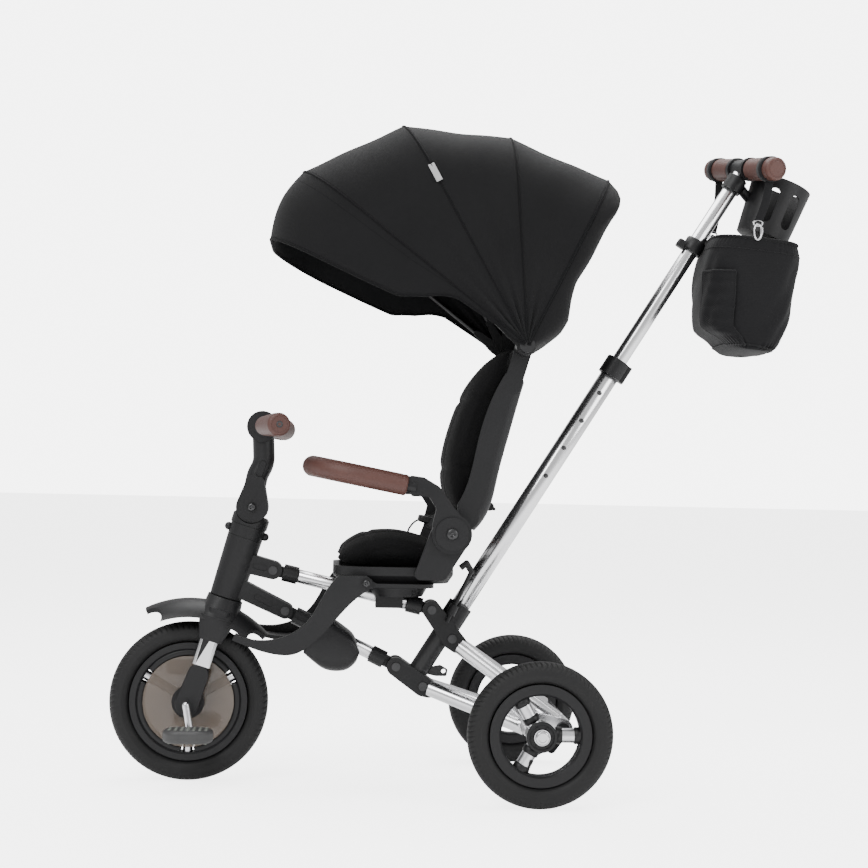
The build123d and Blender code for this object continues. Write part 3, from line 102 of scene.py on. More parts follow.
class Surface:
    """A new node material: a Principled shader, and short calls that add and join nodes."""

    def __init__(self, name, colour, rough, metal=0.0):
        self.material = bpy.data.materials.new(name)
        self.material.use_nodes = True
        self.tree = self.material.node_tree
        self.shader = self.tree.nodes["Principled BSDF"]
        self.shader.inputs["Base Color"].default_value = (*colour, 1)
        self.shader.inputs["Roughness"].default_value = rough
        self.shader.inputs["Metallic"].default_value = metal
        self.place = self.node("ShaderNodeTexCoord").outputs["Object"]

    def node(self, kind, inputs=None, **settings):
        """A node with its settings, and its inputs set to a number or joined to a socket."""
        made = self.tree.nodes.new(kind)
        for key, value in settings.items():
            setattr(made, key, value)
        for key, value in (inputs or {}).items():
            if isinstance(value, bpy.types.NodeSocket):
                self.tree.links.new(value, made.inputs[key])
            else:
                made.inputs[key].default_value = value
        return made

    def math(self, operation, first, second=0.0):
        """One Math node's result."""
        return self.node("ShaderNodeMath", {0: first, 1: second}, operation=operation).outputs[0]

    def noise(self, scale, detail=3.0, place=None):
        """Noise value at a place, from 0 to 1."""
        return self.node("ShaderNodeTexNoise", {"Vector": place or self.place, "Scale": scale,
                                                "Detail": detail}).outputs["Fac"]

    def tint(self, low, high, factor):
        """Base colour that runs from low to high with a factor."""
        ramp = self.node("ShaderNodeMix", {"Factor": factor, "A": (*low, 1), "B": (*high, 1)}, data_type="RGBA")
        self.tree.links.new(ramp.outputs[2], self.shader.inputs["Base Color"])

    def gloss(self, low, high, factor):
        """Roughness that runs from low to high with a factor."""
        spread = self.node("ShaderNodeMapRange", {"Value": factor, "To Min": low, "To Max": high})
        self.tree.links.new(spread.outputs["Result"], self.shader.inputs["Roughness"])

    def relief(self, height, depth, strength=1.0):
        """Bump from a height, with its depth in metres."""
        bump = self.node("ShaderNodeBump", {"Height": height, "Distance": depth, "Strength": strength})
        self.tree.links.new(bump.outputs["Normal"], self.shader.inputs["Normal"])

    def set(self, **values):
        """Numbers set on the shader's own sockets."""
        for key, value in values.items():
            self.shader.inputs[key.replace("_", " ")].default_value = value
        return self.material


def floor_sheet():
    """Pale matte floor, faintly mottled."""
    paper = Surface("floor_paper", (0.95, 0.95, 0.95), 0.9)
    paper.set(Emission_Color=(1, 1, 1, 1))
    seen_by = paper.node("ShaderNodeLightPath").outputs["Is Camera Ray"]
    glow = paper.node("ShaderNodeMapRange", {"Value": seen_by, "To Min": 0.35, "To Max": 3.6})
    paper.tree.links.new(glow.outputs["Result"], paper.shader.inputs["Emission Strength"])
    paper.relief(paper.noise(60), 0.0002)
    mesh = bpy.data.meshes.new("floor")
    reach = 30
    mesh.from_pydata([(-reach, -reach, 0), (reach, -reach, 0), (reach, reach, 0), (-reach, reach, 0)], [],
                     [(0, 1, 2, 3)])
    floor = bpy.data.objects.new("floor", mesh)
    mesh.materials.append(paper.material)
    bpy.context.scene.collection.objects.link(floor)


floor_sheet()

FRONT_AXLE_X = sum(v.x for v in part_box("front_tyre")) / 2
NEAR, FAR = -1, 1


def at(behind, height, across=0.0):
    """Point behind the front axle, above the floor and to the right of the centre plane, in millimetres."""
    return np.array([FRONT_AXLE_X + behind / 1000, across / 1000, height / 1000])


def build(name, vertices, faces, finishes, uv=None):
    """Object at the origin with smooth faces, from vertices, faces and one material or several."""
    mesh = bpy.data.meshes.new(name)
    mesh.from_pydata(np.asarray(vertices).tolist(), [], [list(map(int, f)) for f in faces])
    if uv is not None:
        layer = mesh.uv_layers.new(name="UVMap")
        layer.data.foreach_set("uv", np.asarray(uv, np.float32).ravel())
    mesh.polygons.foreach_set("use_smooth", np.ones(len(mesh.polygons), bool))
    for finish in finishes if isinstance(finishes, list) else [finishes]:
        mesh.materials.append(finish)
    made = bpy.data.objects.new(name, mesh)
    bpy.context.scene.collection.objects.link(made)
    return made


def outward(piece):
    """Turns every face of a closed piece outwards."""
    shape = bmesh.new()
    shape.from_mesh(piece.data)
    bmesh.ops.recalc_face_normals(shape, faces=shape.faces)
    shape.to_mesh(piece.data)
    shape.free()
    return piece


def grid_parts(points, loop_rows=False, loop_columns=False, closed=False):
    """Vertices and faces of a grid of points; a loop joins its last line to its first, and closed fills both ends."""
    rows, columns = points.shape[:2]
    index = np.arange(rows * columns).reshape(rows, columns)
    if loop_columns:
        index = np.hstack([index, index[:, :1]])
    if loop_rows:
        index = np.vstack([index, index[:1]])
    faces = np.stack([index[:-1, :-1], index[:-1, 1:], index[1:, 1:], index[1:, :-1]], -1).reshape(-1, 4).tolist()
    vertices = points.reshape(-1, 3)
    if closed:
        vertices = np.vstack([vertices, points[0].mean(0), points[-1].mean(0)])
        first, last = rows * columns, rows * columns + 1
        faces += [[a, first, b] for a, b in zip(index[0, :-1].tolist(), index[0, 1:].tolist())]
        faces += [[a, b, last] for a, b in zip(index[-1, :-1].tolist(), index[-1, 1:].tolist())]
    return vertices, faces


def skin(name, points, finish, loop_rows=False, loop_columns=False, closed=False):
    """Piece whose surface is a grid of points."""
    made = build(name, *grid_parts(points, loop_rows, loop_columns, closed), finish)
    return outward(made) if closed or (loop_rows and loop_columns) else made


def swept(path, profile, lean=(0, 1, 0)):
    """Grid of a profile carried along a path: each point is the path's point plus the profile's two
    numbers times two directions square to the path, the first of them square to lean as well."""
    path = np.asarray(path, float)
    run = np.gradient(path, axis=0)
    run /= np.linalg.norm(run, axis=1, keepdims=True)
    out = np.cross(run, np.asarray(lean, float))
    out /= np.linalg.norm(out, axis=1, keepdims=True)
    rise = np.cross(out, run)
    profile = np.broadcast_to(np.asarray(profile, float), (len(path), *np.shape(profile)[-2:]))
    return path[:, None] + profile[..., :1] * out[:, None] + profile[..., 1:] * rise[:, None]


def ring(radius, count=24, squash=1.0):
    """Points of a circle, or an oval squashed along its second direction."""
    turn = np.linspace(0, 2 * np.pi, count, endpoint=False)
    return np.stack([radius * np.cos(turn), radius * squash * np.sin(turn)], -1)


def squared(value, power):
    """A sine or cosine flattened by a power, which squares off a circle."""
    return np.sign(value) * np.abs(value) ** power


def evenly(curve, count):
    """Points evenly spaced along a fine line of points."""
    length = np.r_[0, np.cumsum(np.linalg.norm(np.diff(curve, axis=0), axis=1))]
    return np.stack([np.interp(np.linspace(0, length[-1], count), length, curve[:, k]) for k in range(3)], -1)


def unit(direction):
    """A direction with a length of one."""
    direction = np.asarray(direction, float)
    return direction / np.linalg.norm(direction)


def smooth_path(corners, count):
    """Points evenly spaced along a Catmull-Rom curve through the corners."""
    corners = np.asarray(corners, float)
    ends = np.vstack([2 * corners[0] - corners[1], corners, 2 * corners[-1] - corners[-2]])
    step = np.linspace(0, 1, 40, endpoint=False)[:, None]
    spans = []
    for a, b, c, d in zip(ends, ends[1:], ends[2:], ends[3:]):
        spans.append(0.5 * (2 * b + (c - a) * step + (2 * a - 5 * b + 4 * c - d) * step**2
                            + (3 * b - a - 3 * c + d) * step**3))
    return evenly(np.vstack([*spans, corners[-1:]]), count)


def joined(name, parts, finish):
    """One piece from several (vertices, faces) lists."""
    vertices, faces, used = [], [], 0
    for points, polygons in parts:
        vertices.append(np.asarray(points))
        faces += [[i + used for i in polygon] for polygon in polygons]
        used += len(points)
    return outward(build(name, np.vstack(vertices), faces, finish))


def covering(made, body, slot, *nodes):
    """A finished piece rides on a body, in place of the CAD nodes that are named."""
    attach(made, body)
    if nodes:
        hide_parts(*nodes)


def fitted(name, parts, finish, body, slot, *nodes):
    """A piece made of several parts rides on a body, in place of the CAD nodes that are named."""
    covering(joined(name, parts, finish.material), body, slot, *nodes)


def cord_parts(path, radius, lean=(0, 1, 0), sides=10, squash=1.0):
    """Closed round or oval bar along a path."""
    return grid_parts(swept(path, ring(radius, sides, squash), lean), loop_columns=True, closed=True)


def lathe_parts(centre, axis, profile, count=40):
    """Closed turned shape: each (distance along the axis, radius) of the profile goes once round the axis."""
    axis = unit(axis)
    side = unit(np.cross(axis, (0, 0, 1) if abs(axis[2]) < 0.9 else (1, 0, 0)))
    turn = np.linspace(0, 2 * np.pi, count, endpoint=False)[None, :, None]
    profile = np.asarray(profile, float)
    radial = np.cos(turn) * side + np.sin(turn) * np.cross(axis, side)
    points = np.asarray(centre) + profile[:, :1, None] * axis + profile[:, 1:, None] * radial
    return grid_parts(points, loop_columns=True, closed=True)


# ---- tyres ----
# Three pneumatic tyres of moulded black rubber, seated in their rims: a smooth crown with fine
# slanting ribs on both shoulders, a raised line on each sidewall and a bead against the rim.
tyre_rubber = Surface("tyre_rubber", (0.008, 0.008, 0.009), 0.62)
rubber_dust = tyre_rubber.noise(14, 5)
tyre_rubber.tint((0.0035, 0.0035, 0.004), (0.012, 0.012, 0.012), rubber_dust)
tyre_rubber.gloss(0.48, 0.72, rubber_dust)
tyre_rubber.relief(tyre_rubber.noise(900), 0.00015)
tyre_rubber.set(Specular_IOR_Level=0.3)
RIB_DEPTH = 0.0024
RIBS = 84


def middle_of(node):
    """Middle of a CAD node's box."""
    low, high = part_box(node)
    return np.array((low + high) / 2)


def tyre(name, node, body, seat_r):
    """Tyre from a flattened round section that goes once round the axle: the radius at a section angle is
    the middle of the band plus half its height times a rounded cosine, less the ribs' depth on the shoulders."""
    low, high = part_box(node)
    axle = middle_of(node)
    outer = (high.z - low.z) / 2
    half = (high.y - low.y) / 2
    section = np.linspace(-np.pi, np.pi, 72, endpoint=False)
    turn = np.linspace(0, 2 * np.pi, 768, endpoint=False)
    middle, rise = (outer + seat_r) / 2, (outer - seat_r) / 2
    radius = middle + rise * squared(np.cos(section), 0.8)
    across = half * squared(np.sin(section), 0.85)
    spread = np.abs(section)
    shoulder = np.clip(1 - np.abs(spread - 0.8) / 0.62, 0, 1) ** 0.4
    crown = np.clip(1 - spread / 0.16, 0, 1)
    wave = 0.55 + np.sin(RIBS * turn[:, None] + 5 * np.abs(across)[None] / half)
    rib = np.clip(-wave * 2.5, 0, 1)
    line = np.exp(-((spread - 1.72) / 0.05) ** 2) + 0.7 * np.exp(-((spread - 2.25) / 0.05) ** 2)
    lift = -RIB_DEPTH * rib * shoulder[None] - 0.0009 * crown[None] + 0 * turn[:, None]
    reach = radius[None] + lift
    side = across[None] * (1 + 0.045 * line[None]) + 0 * turn[:, None]
    points = np.stack([axle[0] + reach * np.cos(turn[:, None]), axle[1] + side,
                       axle[2] + reach * np.sin(turn[:, None])], -1)
    made = skin(name, points, tyre_rubber.material, loop_rows=True, loop_columns=True)
    covering(made, body, "tyre_rubber", node)


FRONT_SEAT_R, REAR_SEAT_R = 0.094, 0.077
tyre("front_tread_tyre", "front_tyre", "front_wheel_unit", FRONT_SEAT_R)
tyre("left_tread_tyre", "rear_tyre_left", "left_rear_wheel", REAR_SEAT_R)
tyre("right_tread_tyre", "rear_tyre_right", "right_rear_wheel", REAR_SEAT_R)


# ---- wheels ----
# Black moulded rims and hubs with three bright tubular spokes; the front wheel has a smoked clear disc
# pressed in on each side. Each rear wheel is held by a cap nut, and each rear rim has a valve.
black_plastic = Surface("moulded_plastic", (0.018, 0.018, 0.02), 0.45)
mould_flow = black_plastic.noise(9, 4)
black_plastic.tint((0.0045, 0.0045, 0.005), (0.0095, 0.0095, 0.0105), mould_flow)
black_plastic.gloss(0.34, 0.5, mould_flow)
black_plastic.set(Specular_IOR_Level=0.32)
black_plastic.relief(black_plastic.noise(1600, 2), 0.00012)
bright_steel = Surface("bright_steel", (0.72, 0.72, 0.74), 0.2, metal=1.0)
steel_marks = bright_steel.noise(40, 6)
bright_steel.tint((0.55, 0.55, 0.57), (0.82, 0.82, 0.84), steel_marks)
bright_steel.gloss(0.13, 0.3, steel_marks)
spoke_metal = Surface("spoke_aluminium", (0.75, 0.75, 0.77), 0.3, metal=1.0)
spoke_grain = spoke_metal.noise(300, 3)
spoke_metal.tint((0.6, 0.6, 0.62), (0.85, 0.85, 0.87), spoke_grain)
spoke_metal.gloss(0.24, 0.42, spoke_grain)
smoked_plastic = Surface("smoked_plastic", (0.1, 0.075, 0.055), 0.12)
smoke = smoked_plastic.noise(5, 2)
smoked_plastic.tint((0.085, 0.062, 0.046), (0.125, 0.095, 0.072), smoke)
smoked_plastic.gloss(0.08, 0.2, smoked_plastic.noise(60, 3))
smoked_plastic.set(Alpha=0.7, IOR=1.49)


def finish_node(node, *finishes):
    """Gives a CAD node its material, or several; returns its mesh."""
    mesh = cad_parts[node].data
    mesh.materials.clear()
    for finish in finishes:
        mesh.materials.append(finish.material)
    return mesh


def face_centres(mesh):
    """Centre of every face of a mesh, as one array."""
    centres = np.empty(len(mesh.polygons) * 3)
    mesh.polygons.foreach_get("center", centres)
    return centres.reshape(-1, 3)


def two_finish(node, first, second, chosen):
    """Gives a CAD node a first material, and a second one where chosen says so for a face's centre."""
    mesh = finish_node(node, first, second)
    mesh.polygons.foreach_set("material_index", chosen(face_centres(mesh)).astype(np.int32))


def spoke_band(node, inner, outer, half):
    """True for faces between two radii of a wheel and near its middle plane: its spokes."""
    middle = middle_of(node)

    def chosen(centres):
        away = centres - middle
        radius = np.hypot(away[:, 0], away[:, 2])
        return (radius > inner) & (radius < outer) & (np.abs(away[:, 1]) < half)

    return chosen


two_finish("front_wheel", black_plastic, spoke_metal, spoke_band("front_wheel", 0.026, 0.0705, 0.012))
for wheel_node in ("rear_wheel_left", "rear_wheel_right"):
    two_finish(wheel_node, black_plastic, spoke_metal, spoke_band(wheel_node, 0.025, 0.054, 0.013))
finish_node("front_wheel_discs", smoked_plastic)
finish_node("rear_axle", bright_steel)


SOCKET_R, SOCKET_LENGTH = 0.0128, 0.0105


def spoke_sockets(name, node, body):
    """Black sockets that hold each spoke at its hub and at its rim: short collars round its ends."""
    middle = middle_of(node)
    radius, length = SOCKET_R, SOCKET_LENGTH
    parts = []
    for turn in np.arange(3) * 2 * np.pi / 3:
        spoke = np.array([math.cos(turn), 0, math.sin(turn)])
        for spot in (0.022, 0.0505):
            shape = [(0, radius - 0.0015), (0.0012, radius), (length - 0.0012, radius), (length, radius - 0.0015)]
            parts.append(lathe_parts(middle + spoke * spot, spoke, shape, 32))
    fitted(name, parts, black_plastic, body, "black_plastic")


for side_name in ("left", "right"):
    spoke_sockets(f"{side_name}_spoke_sockets", f"rear_wheel_{side_name}", f"{side_name}_rear_wheel")


def rim_flange():
    """Black inner lip of the front rim that the clear discs clip into, with a slot beside each spoke."""
    middle = middle_of("front_wheel")
    parts = []
    for face in (NEAR, FAR):
        for first, last in ((38, 142), (158, 262), (278, 382)):
            turn = np.radians(np.linspace(first, last, 60))
            path = middle + np.stack([0.0775 * np.cos(turn), np.full(60, face * 0.0118), 0.0775 * np.sin(turn)], -1)
            parts.append(ribbon_parts(path, 0.0035, 0.0105, (0, 1, 0)))
    fitted("front_rim_flange", parts, black_plastic, "front_wheel_unit", "black_plastic")


def ribbon_parts(path, width, thick, lean):
    """Flat strap with rounded edges, carried along a path with its width along lean."""
    half, edge = width / 2, thick / 2
    profile = [(edge, -half + min(edge, half) * 0.7), (edge, half - min(edge, half) * 0.7), (edge * 0.5, half),
               (-edge * 0.5, half), (-edge, half - min(edge, half) * 0.7), (-edge, -half + min(edge, half) * 0.7),
               (-edge * 0.5, -half), (edge * 0.5, -half)]
    return grid_parts(swept(path, profile, lean), loop_columns=True, closed=True)


rim_flange()


def outer_face(node, face):
    """Middle of a CAD node's outermost face on one side."""
    spot = middle_of(node)
    spot[1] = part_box(node)[1 if face > 0 else 0].y
    return spot


def hub_ring(name, node, body, face, radius):
    """Ring and six bosses on the outer face of a hub."""
    centre = outer_face(node, face)
    axis = np.array([0, face, 0])
    collar = [(-0.004, radius), (0.001, radius), (0.002, radius - 0.001), (0.002, radius - 0.004),
              (0.0008, radius - 0.005), (-0.004, radius - 0.005)]
    parts = [lathe_parts(centre, axis, collar, 48)]
    for k in range(6):
        turn = k * math.pi / 3
        spot = centre + (radius - 0.0085) * np.array([math.cos(turn), 0, math.sin(turn)])
        parts.append(lathe_parts(spot, axis, [(-0.004, 0.0022), (0.0014, 0.0022), (0.002, 0.0014)], 10))
    fitted(name, parts, black_plastic, body, "black_plastic")


for wheel_name, wheel_body, face in (("left", "left_rear_wheel", NEAR), ("right", "right_rear_wheel", FAR)):
    hub_ring(f"{wheel_name}_hub_ring", f"rear_wheel_{wheel_name}", wheel_body, face, 0.023)
    end = outer_face("rear_axle", face)
    nut = [(-0.008, 0.0105), (-0.0015, 0.0105), (0.0, 0.009), (0.0003, 0.006), (-0.0008, 0.0045), (-0.0008, 0.001)]
    fitted(f"{wheel_name}_cap_nut", [lathe_parts(end, (0, face, 0), nut, 36)], bright_steel, "rear_frame", "steel")


def valve(name, node, body, rim_inner, face):
    """Rubber valve stem with its cap, standing in from a rim on one face."""
    turn = math.radians(250)
    spoke = np.array([math.cos(turn), 0, math.sin(turn)])
    root = middle_of(node) + spoke * rim_inner + np.array([0, face * 0.004, 0])
    stem_shape = [(-0.003, 0.0032), (0.006, 0.0030), (0.007, 0.0024), (0.016, 0.0024), (0.0165, 0.003),
                  (0.022, 0.003), (0.023, 0.002)]
    lean_out = -spoke + np.array([0, face * 0.25, 0])
    fitted(name, [lathe_parts(root, lean_out, stem_shape, 14)], tyre_rubber, body, "tyre_rubber")


valve("left_valve", "rear_wheel_left", "left_rear_wheel", 0.0605, NEAR)
valve("right_valve", "rear_wheel_right", "right_rear_wheel", 0.0605, FAR)


# ---- crank and pedals ----
# Chromed crank through the front hub. Each pedal is a round-ended rubber pad on a moulded core,
# with a raised rim and grey cross treads on both faces.
finish_node("crankshaft", bright_steel)
pedal_rubber = Surface("pedal_rubber", (0.03, 0.03, 0.031), 0.55)
pedal_wear = pedal_rubber.noise(30, 4)
pedal_rubber.tint((0.018, 0.018, 0.019), (0.05, 0.05, 0.05), pedal_wear)
pedal_rubber.gloss(0.4, 0.65, pedal_wear)
pedal_rubber.relief(pedal_rubber.noise(700), 0.0002)
tread_grey = Surface("pedal_tread", (0.12, 0.13, 0.12), 0.6)
tread_grey.tint((0.09, 0.1, 0.09), (0.17, 0.18, 0.16), tread_grey.noise(45, 4))
tread_grey.relief(tread_grey.noise(600), 0.0003)
for pedal_node, pedal_body in (("pedal_left", "left_pedal"), ("pedal_right", "right_pedal")):
    finish_node(pedal_node, pedal_rubber)
    low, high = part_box(pedal_node)
    middle = middle_of(pedal_node)
    length, width = high.x - low.x, high.y - low.y
    bars = []
    for face, level in ((FAR, high.z), (NEAR, low.z)):
        for share in np.linspace(-0.36, 0.36, 7):
            reach = width * (0.36 - 0.25 * abs(share))
            ends = np.array([[middle[0] + share * length, middle[1] - reach, level],
                             [middle[0] + share * length, middle[1] + reach, level]])
            path = ends[0] + np.linspace(0, 1, 8)[:, None] * (ends[1] - ends[0])
            bars.append(cord_parts(path, 0.0024, (0, 0, 1), 10, 0.55))
    fitted(f"{pedal_node}_treads", bars, tread_grey, pedal_body, "pedal_rubber")


# ---- fork, mudguard and head ----
# Polished flat legs rise from the hub into a black moulded crown and mudguard. The moulded head turns
# on the steerer above a lock ring with two knobs, and a moulded block rests on the lower tube.
polished_tube = Surface("polished_aluminium", (0.8, 0.8, 0.81), 0.2, metal=1.0)
drawn_grain = polished_tube.noise(9, 2)
polished_tube.tint((0.68, 0.68, 0.7), (0.9, 0.9, 0.91), drawn_grain)
polished_tube.gloss(0.14, 0.3, drawn_grain)
for tube_node in ("rear_tubes", "axle_housing"):
    finish_node(tube_node, polished_tube)


def bright_tube(name, node, body, start, end, radius):
    """Drawn tube with a slightly rounded edge at each end."""
    length = np.linalg.norm(end - start)
    shape = [(0, radius - 0.002), (0, radius - 0.0004), (0.0004, radius), (length / 2, radius),
             (length - 0.0004, radius), (length, radius - 0.0004), (length, radius - 0.002)]
    fitted(name, [lathe_parts(start, end - start, shape, 64)], polished_tube, body, "polished_tube", node)


def between(start, end, first, last):
    """Points at two distances in from the ends of a line, in metres."""
    run = unit(end - start)
    return start + run * first, end - run * last


FRAME_TUBE_R = 0.011
upper_ends = between(at(130, 339), at(387, 280), 0.0285, 0.0285)
lower_ends = between(at(151, 274), at(331, 188), 0.0285, 0.0325)
bright_tube("upper_frame_tube", "upper_tube", "frame", *upper_ends, FRAME_TUBE_R)
bright_tube("lower_frame_tube", "lower_tube", "lower_link", *lower_ends, FRAME_TUBE_R)
CROWN_DROP = 0.0225
leg_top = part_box("front_tyre")[1].z - CROWN_DROP


def below_crown(centres):
    """True for the fork's faces under its crown: the bright legs."""
    return centres[:, 2] < leg_top


two_finish("fork", black_plastic, polished_tube, below_crown)
for plastic_node in ("dropout_caps", "mudguard", "head_tube", "steering_lock_ring", "stem_base", "stem",
                     "stem_button", "frame_castings", "lower_sleeves", "link_castings", "push_collar", "handle_tee",
                     "brake_pedal", "cup_holder", "backrest_shell", "seat_shell", "footrest", "safety_bar",
                     "recline_lever", "fold_release"):
    finish_node(plastic_node, black_plastic)
black_metal = Surface("black_powder_coat", (0.015, 0.015, 0.016), 0.4)
black_metal.tint((0.005, 0.005, 0.0055), (0.01, 0.01, 0.011), black_metal.noise(25, 4))
black_metal.relief(black_metal.noise(1200), 0.00015)
for coated_node in ("upright_tube", "canopy_hoop_rear", "canopy_hoop_upper_rear", "canopy_hoop_upper_front",
                    "canopy_hoop_front"):
    finish_node(coated_node, black_metal)
black_screw = Surface("blackened_steel", (0.05, 0.05, 0.052), 0.32, metal=0.9)
black_screw.tint((0.035, 0.035, 0.036), (0.08, 0.08, 0.082), black_screw.noise(50, 5))
black_screw.gloss(0.25, 0.45, black_screw.noise(80, 3))
for bolt_node in ("front_pivot_bolts", "rear_pivot_bolts"):
    finish_node(bolt_node, black_screw)
finish_node("handlebar", bright_steel)


def socket_screw_parts(centre, axis, radius, rise):
    """Round button head with a six-sided socket sunk in its top."""
    shape = [(-0.002, radius), (rise * 0.4, radius), (rise * 0.8, radius * 0.85), (rise, radius * 0.6),
             (rise, radius * 0.48), (rise * 0.3, radius * 0.44), (rise * 0.3, radius * 0.05)]
    return lathe_parts(centre, axis, shape, 24)


pad_top = smooth_path([at(182, 212), at(190, 240), at(205, 262), at(226, 262), at(246, 250), at(262, 236),
                       at(271, 214)], 60)
pad_under = smooth_path([at(183, 208), at(196, 196), at(214, 183), at(233, 179), at(252, 182), at(266, 194),
                         at(272, 210)], 60)
rest_turn = np.linspace(0, 2 * np.pi, 80, endpoint=False)
rest_c, rest_s = squared(np.cos(rest_turn), 0.7), squared(np.sin(rest_turn), 0.5)
rest_grid = ((pad_top + pad_under) / 2)[:, None] + rest_c[None, :, None] * ((pad_under - pad_top) / 2)[:, None]
rest_grid[..., 1] += rest_s[None] * 0.046 * (0.8 + 0.2 * np.sin(np.pi * np.linspace(0, 1, 60)) ** 0.5)[:, None]
rest_block = skin("rest_block", rest_grid, black_plastic.material, loop_columns=True, closed=True)
covering(rest_block, "lower_link", "black_plastic", "rest_pad")
for screw_name, spot, screw_body, screw_r in (
        ("front_left_dropout_screw", at(0, 127, -46.0), "steering_fork", 0.006),
        ("front_right_dropout_screw", at(0, 127, 46.0), "steering_fork", 0.006),
        ("stem_hinge_left_screw", at(94, 440, -30.0), "handlebar_unit", 0.0065),
        ("stem_hinge_right_screw", at(94, 440, 30.0), "handlebar_unit", 0.0065),
        ("hub_left_screw", at(409, 407, -145.9), "safety_bar_unit", 0.009),
        ("hub_right_screw", at(409, 407, 145.9), "safety_bar_unit", 0.009),
        ("footrest_left_screw", at(278, 329, -144.9), "footrest_unit", 0.0055),
        ("footrest_right_screw", at(278, 329, 144.9), "footrest_unit", 0.0055)):
    direction = np.array([0, np.sign(spot[1]), 0])
    head = socket_screw_parts(spot - 0.0022 * direction, direction, screw_r, 0.0035)
    fitted(screw_name, [head], black_screw, screw_body, "black_metal")


# ---- handlebar grips ----
# A brown stitched leather cover is wrapped on each end of the bar. It swells towards the tip, with a seam
# along its underside and a ring of stitches round its end.
leather = Surface("brown_leather", (0.2, 0.07, 0.045), 0.5)
hide_tone = leather.noise(22, 5)
leather.tint((0.045, 0.014, 0.010), (0.085, 0.028, 0.019), hide_tone)
leather.gloss(0.38, 0.58, hide_tone)
hide_cells = leather.node("ShaderNodeTexVoronoi", {"Vector": leather.place, "Scale": 620}, feature="F1")
leather.relief(hide_cells.outputs["Distance"], 0.00035)
thread = Surface("waxed_thread", (0.16, 0.06, 0.04), 0.6)
thread.tint((0.03, 0.01, 0.008), (0.09, 0.035, 0.025), thread.noise(400))
thread.relief(thread.noise(2500), 0.0002)


def stitch_parts(path, normals, pitch=0.0052, radius=0.00055):
    """Stitches in a row: short bars laid along a path, each arched a little out of the surface."""
    length = np.r_[0, np.cumsum(np.linalg.norm(np.diff(path, axis=0), axis=1))]
    count = max(2, int(length[-1] / pitch))
    parts = []
    for start in (np.arange(count) + 0.2) * length[-1] / count:
        spots = start + np.linspace(0, 0.62, 4) * pitch
        line = np.stack([np.interp(spots, length, path[:, k]) for k in range(3)], -1)
        out = np.stack([np.interp(spots, length, normals[:, k]) for k in range(3)], -1)
        line = line + out * (radius * np.array([-0.4, 0.7, 0.7, -0.4]))[:, None]
        parts.append(cord_parts(line, radius, out[0], 5))
    return parts


def turned_cover(name, start, end, radii, body, node, seam):
    """Leather cover turned about a straight line: radii are (share of the length, radius). The seam is a
    groove along the side that faces the seam direction, with stitches on each side of it."""
    length = np.linalg.norm(end - start)
    run = unit(end - start)
    seam = unit(seam - run * (np.asarray(seam, float) @ run))
    across = np.cross(run, seam)
    shares = np.r_[0, 0, np.linspace(0.02, 0.98, 60), 1, 1]
    radius = np.interp(shares, [r[0] for r in radii], [r[1] for r in radii])
    edge = np.minimum(shares, 1 - shares) * length
    radius = radius - 0.0042 * (1 - np.clip(edge / 0.0052, 0, 1)) ** 2
    radius[0] = radius[-1] = 0.0095
    turn = np.linspace(0, 2 * np.pi, 72, endpoint=False)
    groove = 0.0011 * np.exp(-((np.minimum(turn, 2 * np.pi - turn)) / 0.075) ** 2)
    pucker = 0.00035 * np.sin(shares * length / 0.0052 * 2 * np.pi)[:, None] * np.exp(
        -((np.minimum(turn, 2 * np.pi - turn)) / 0.22) ** 2)[None]
    reach = radius[:, None] - groove[None] * (edge > 0.003)[:, None] - pucker
    spots = start + run * (shares * length)[:, None]
    points = spots[:, None] + reach[..., None] * (np.cos(turn)[:, None] * seam + np.sin(turn)[:, None] * across)
    made = skin(name, points, leather.material, loop_columns=True, closed=True)
    covering(made, body, "brown_leather", *node)
    inner = slice(6, -6)
    rows = []
    for side in (-1, 1):
        out = math.cos(0.16) * seam + side * math.sin(0.16) * across
        rows += stitch_parts(spots[inner] + radius[inner, None] * out, np.tile(out, (len(spots[inner]), 1)))
    rim = np.linspace(0, 2 * np.pi, 60)
    out = np.cos(rim)[:, None] * seam + np.sin(rim)[:, None] * across
    face_r = np.interp(0.985, [r[0] for r in radii], [r[1] for r in radii]) - 0.0052
    rows += stitch_parts(end + face_r * out - run * 0.0001, np.tile(run, (60, 1)), 0.0046)
    fitted(f"{name}_stitches", rows, thread, body, "brown_leather")


GRIP_LENGTH = 0.104
for side_name, face in (("left", NEAR), ("right", FAR)):
    tip, root = at(139, 570, face * 160), at(108, 570, face * 46)
    along_bar = unit(tip - root)
    turned_cover(f"{side_name}_bar_cover", tip - along_bar * GRIP_LENGTH, tip + along_bar * 0.004,
                 [(0, 0.015), (0.78, 0.018), (1, 0.018)], "handlebar_unit", ["handlebar_grips"], (0, 0, -1))
    fitted(f"{side_name}_grip_plug", [lathe_parts(tip + along_bar * 0.0030, along_bar,
                    [(-0.002, 0.0052), (0.0012, 0.0052), (0.0018, 0.0044), (0.0018, 0.0028), (0.0006, 0.0024),
                     (0.0006, 0.0004)], 24)], black_screw, "handlebar_unit", "black_metal")
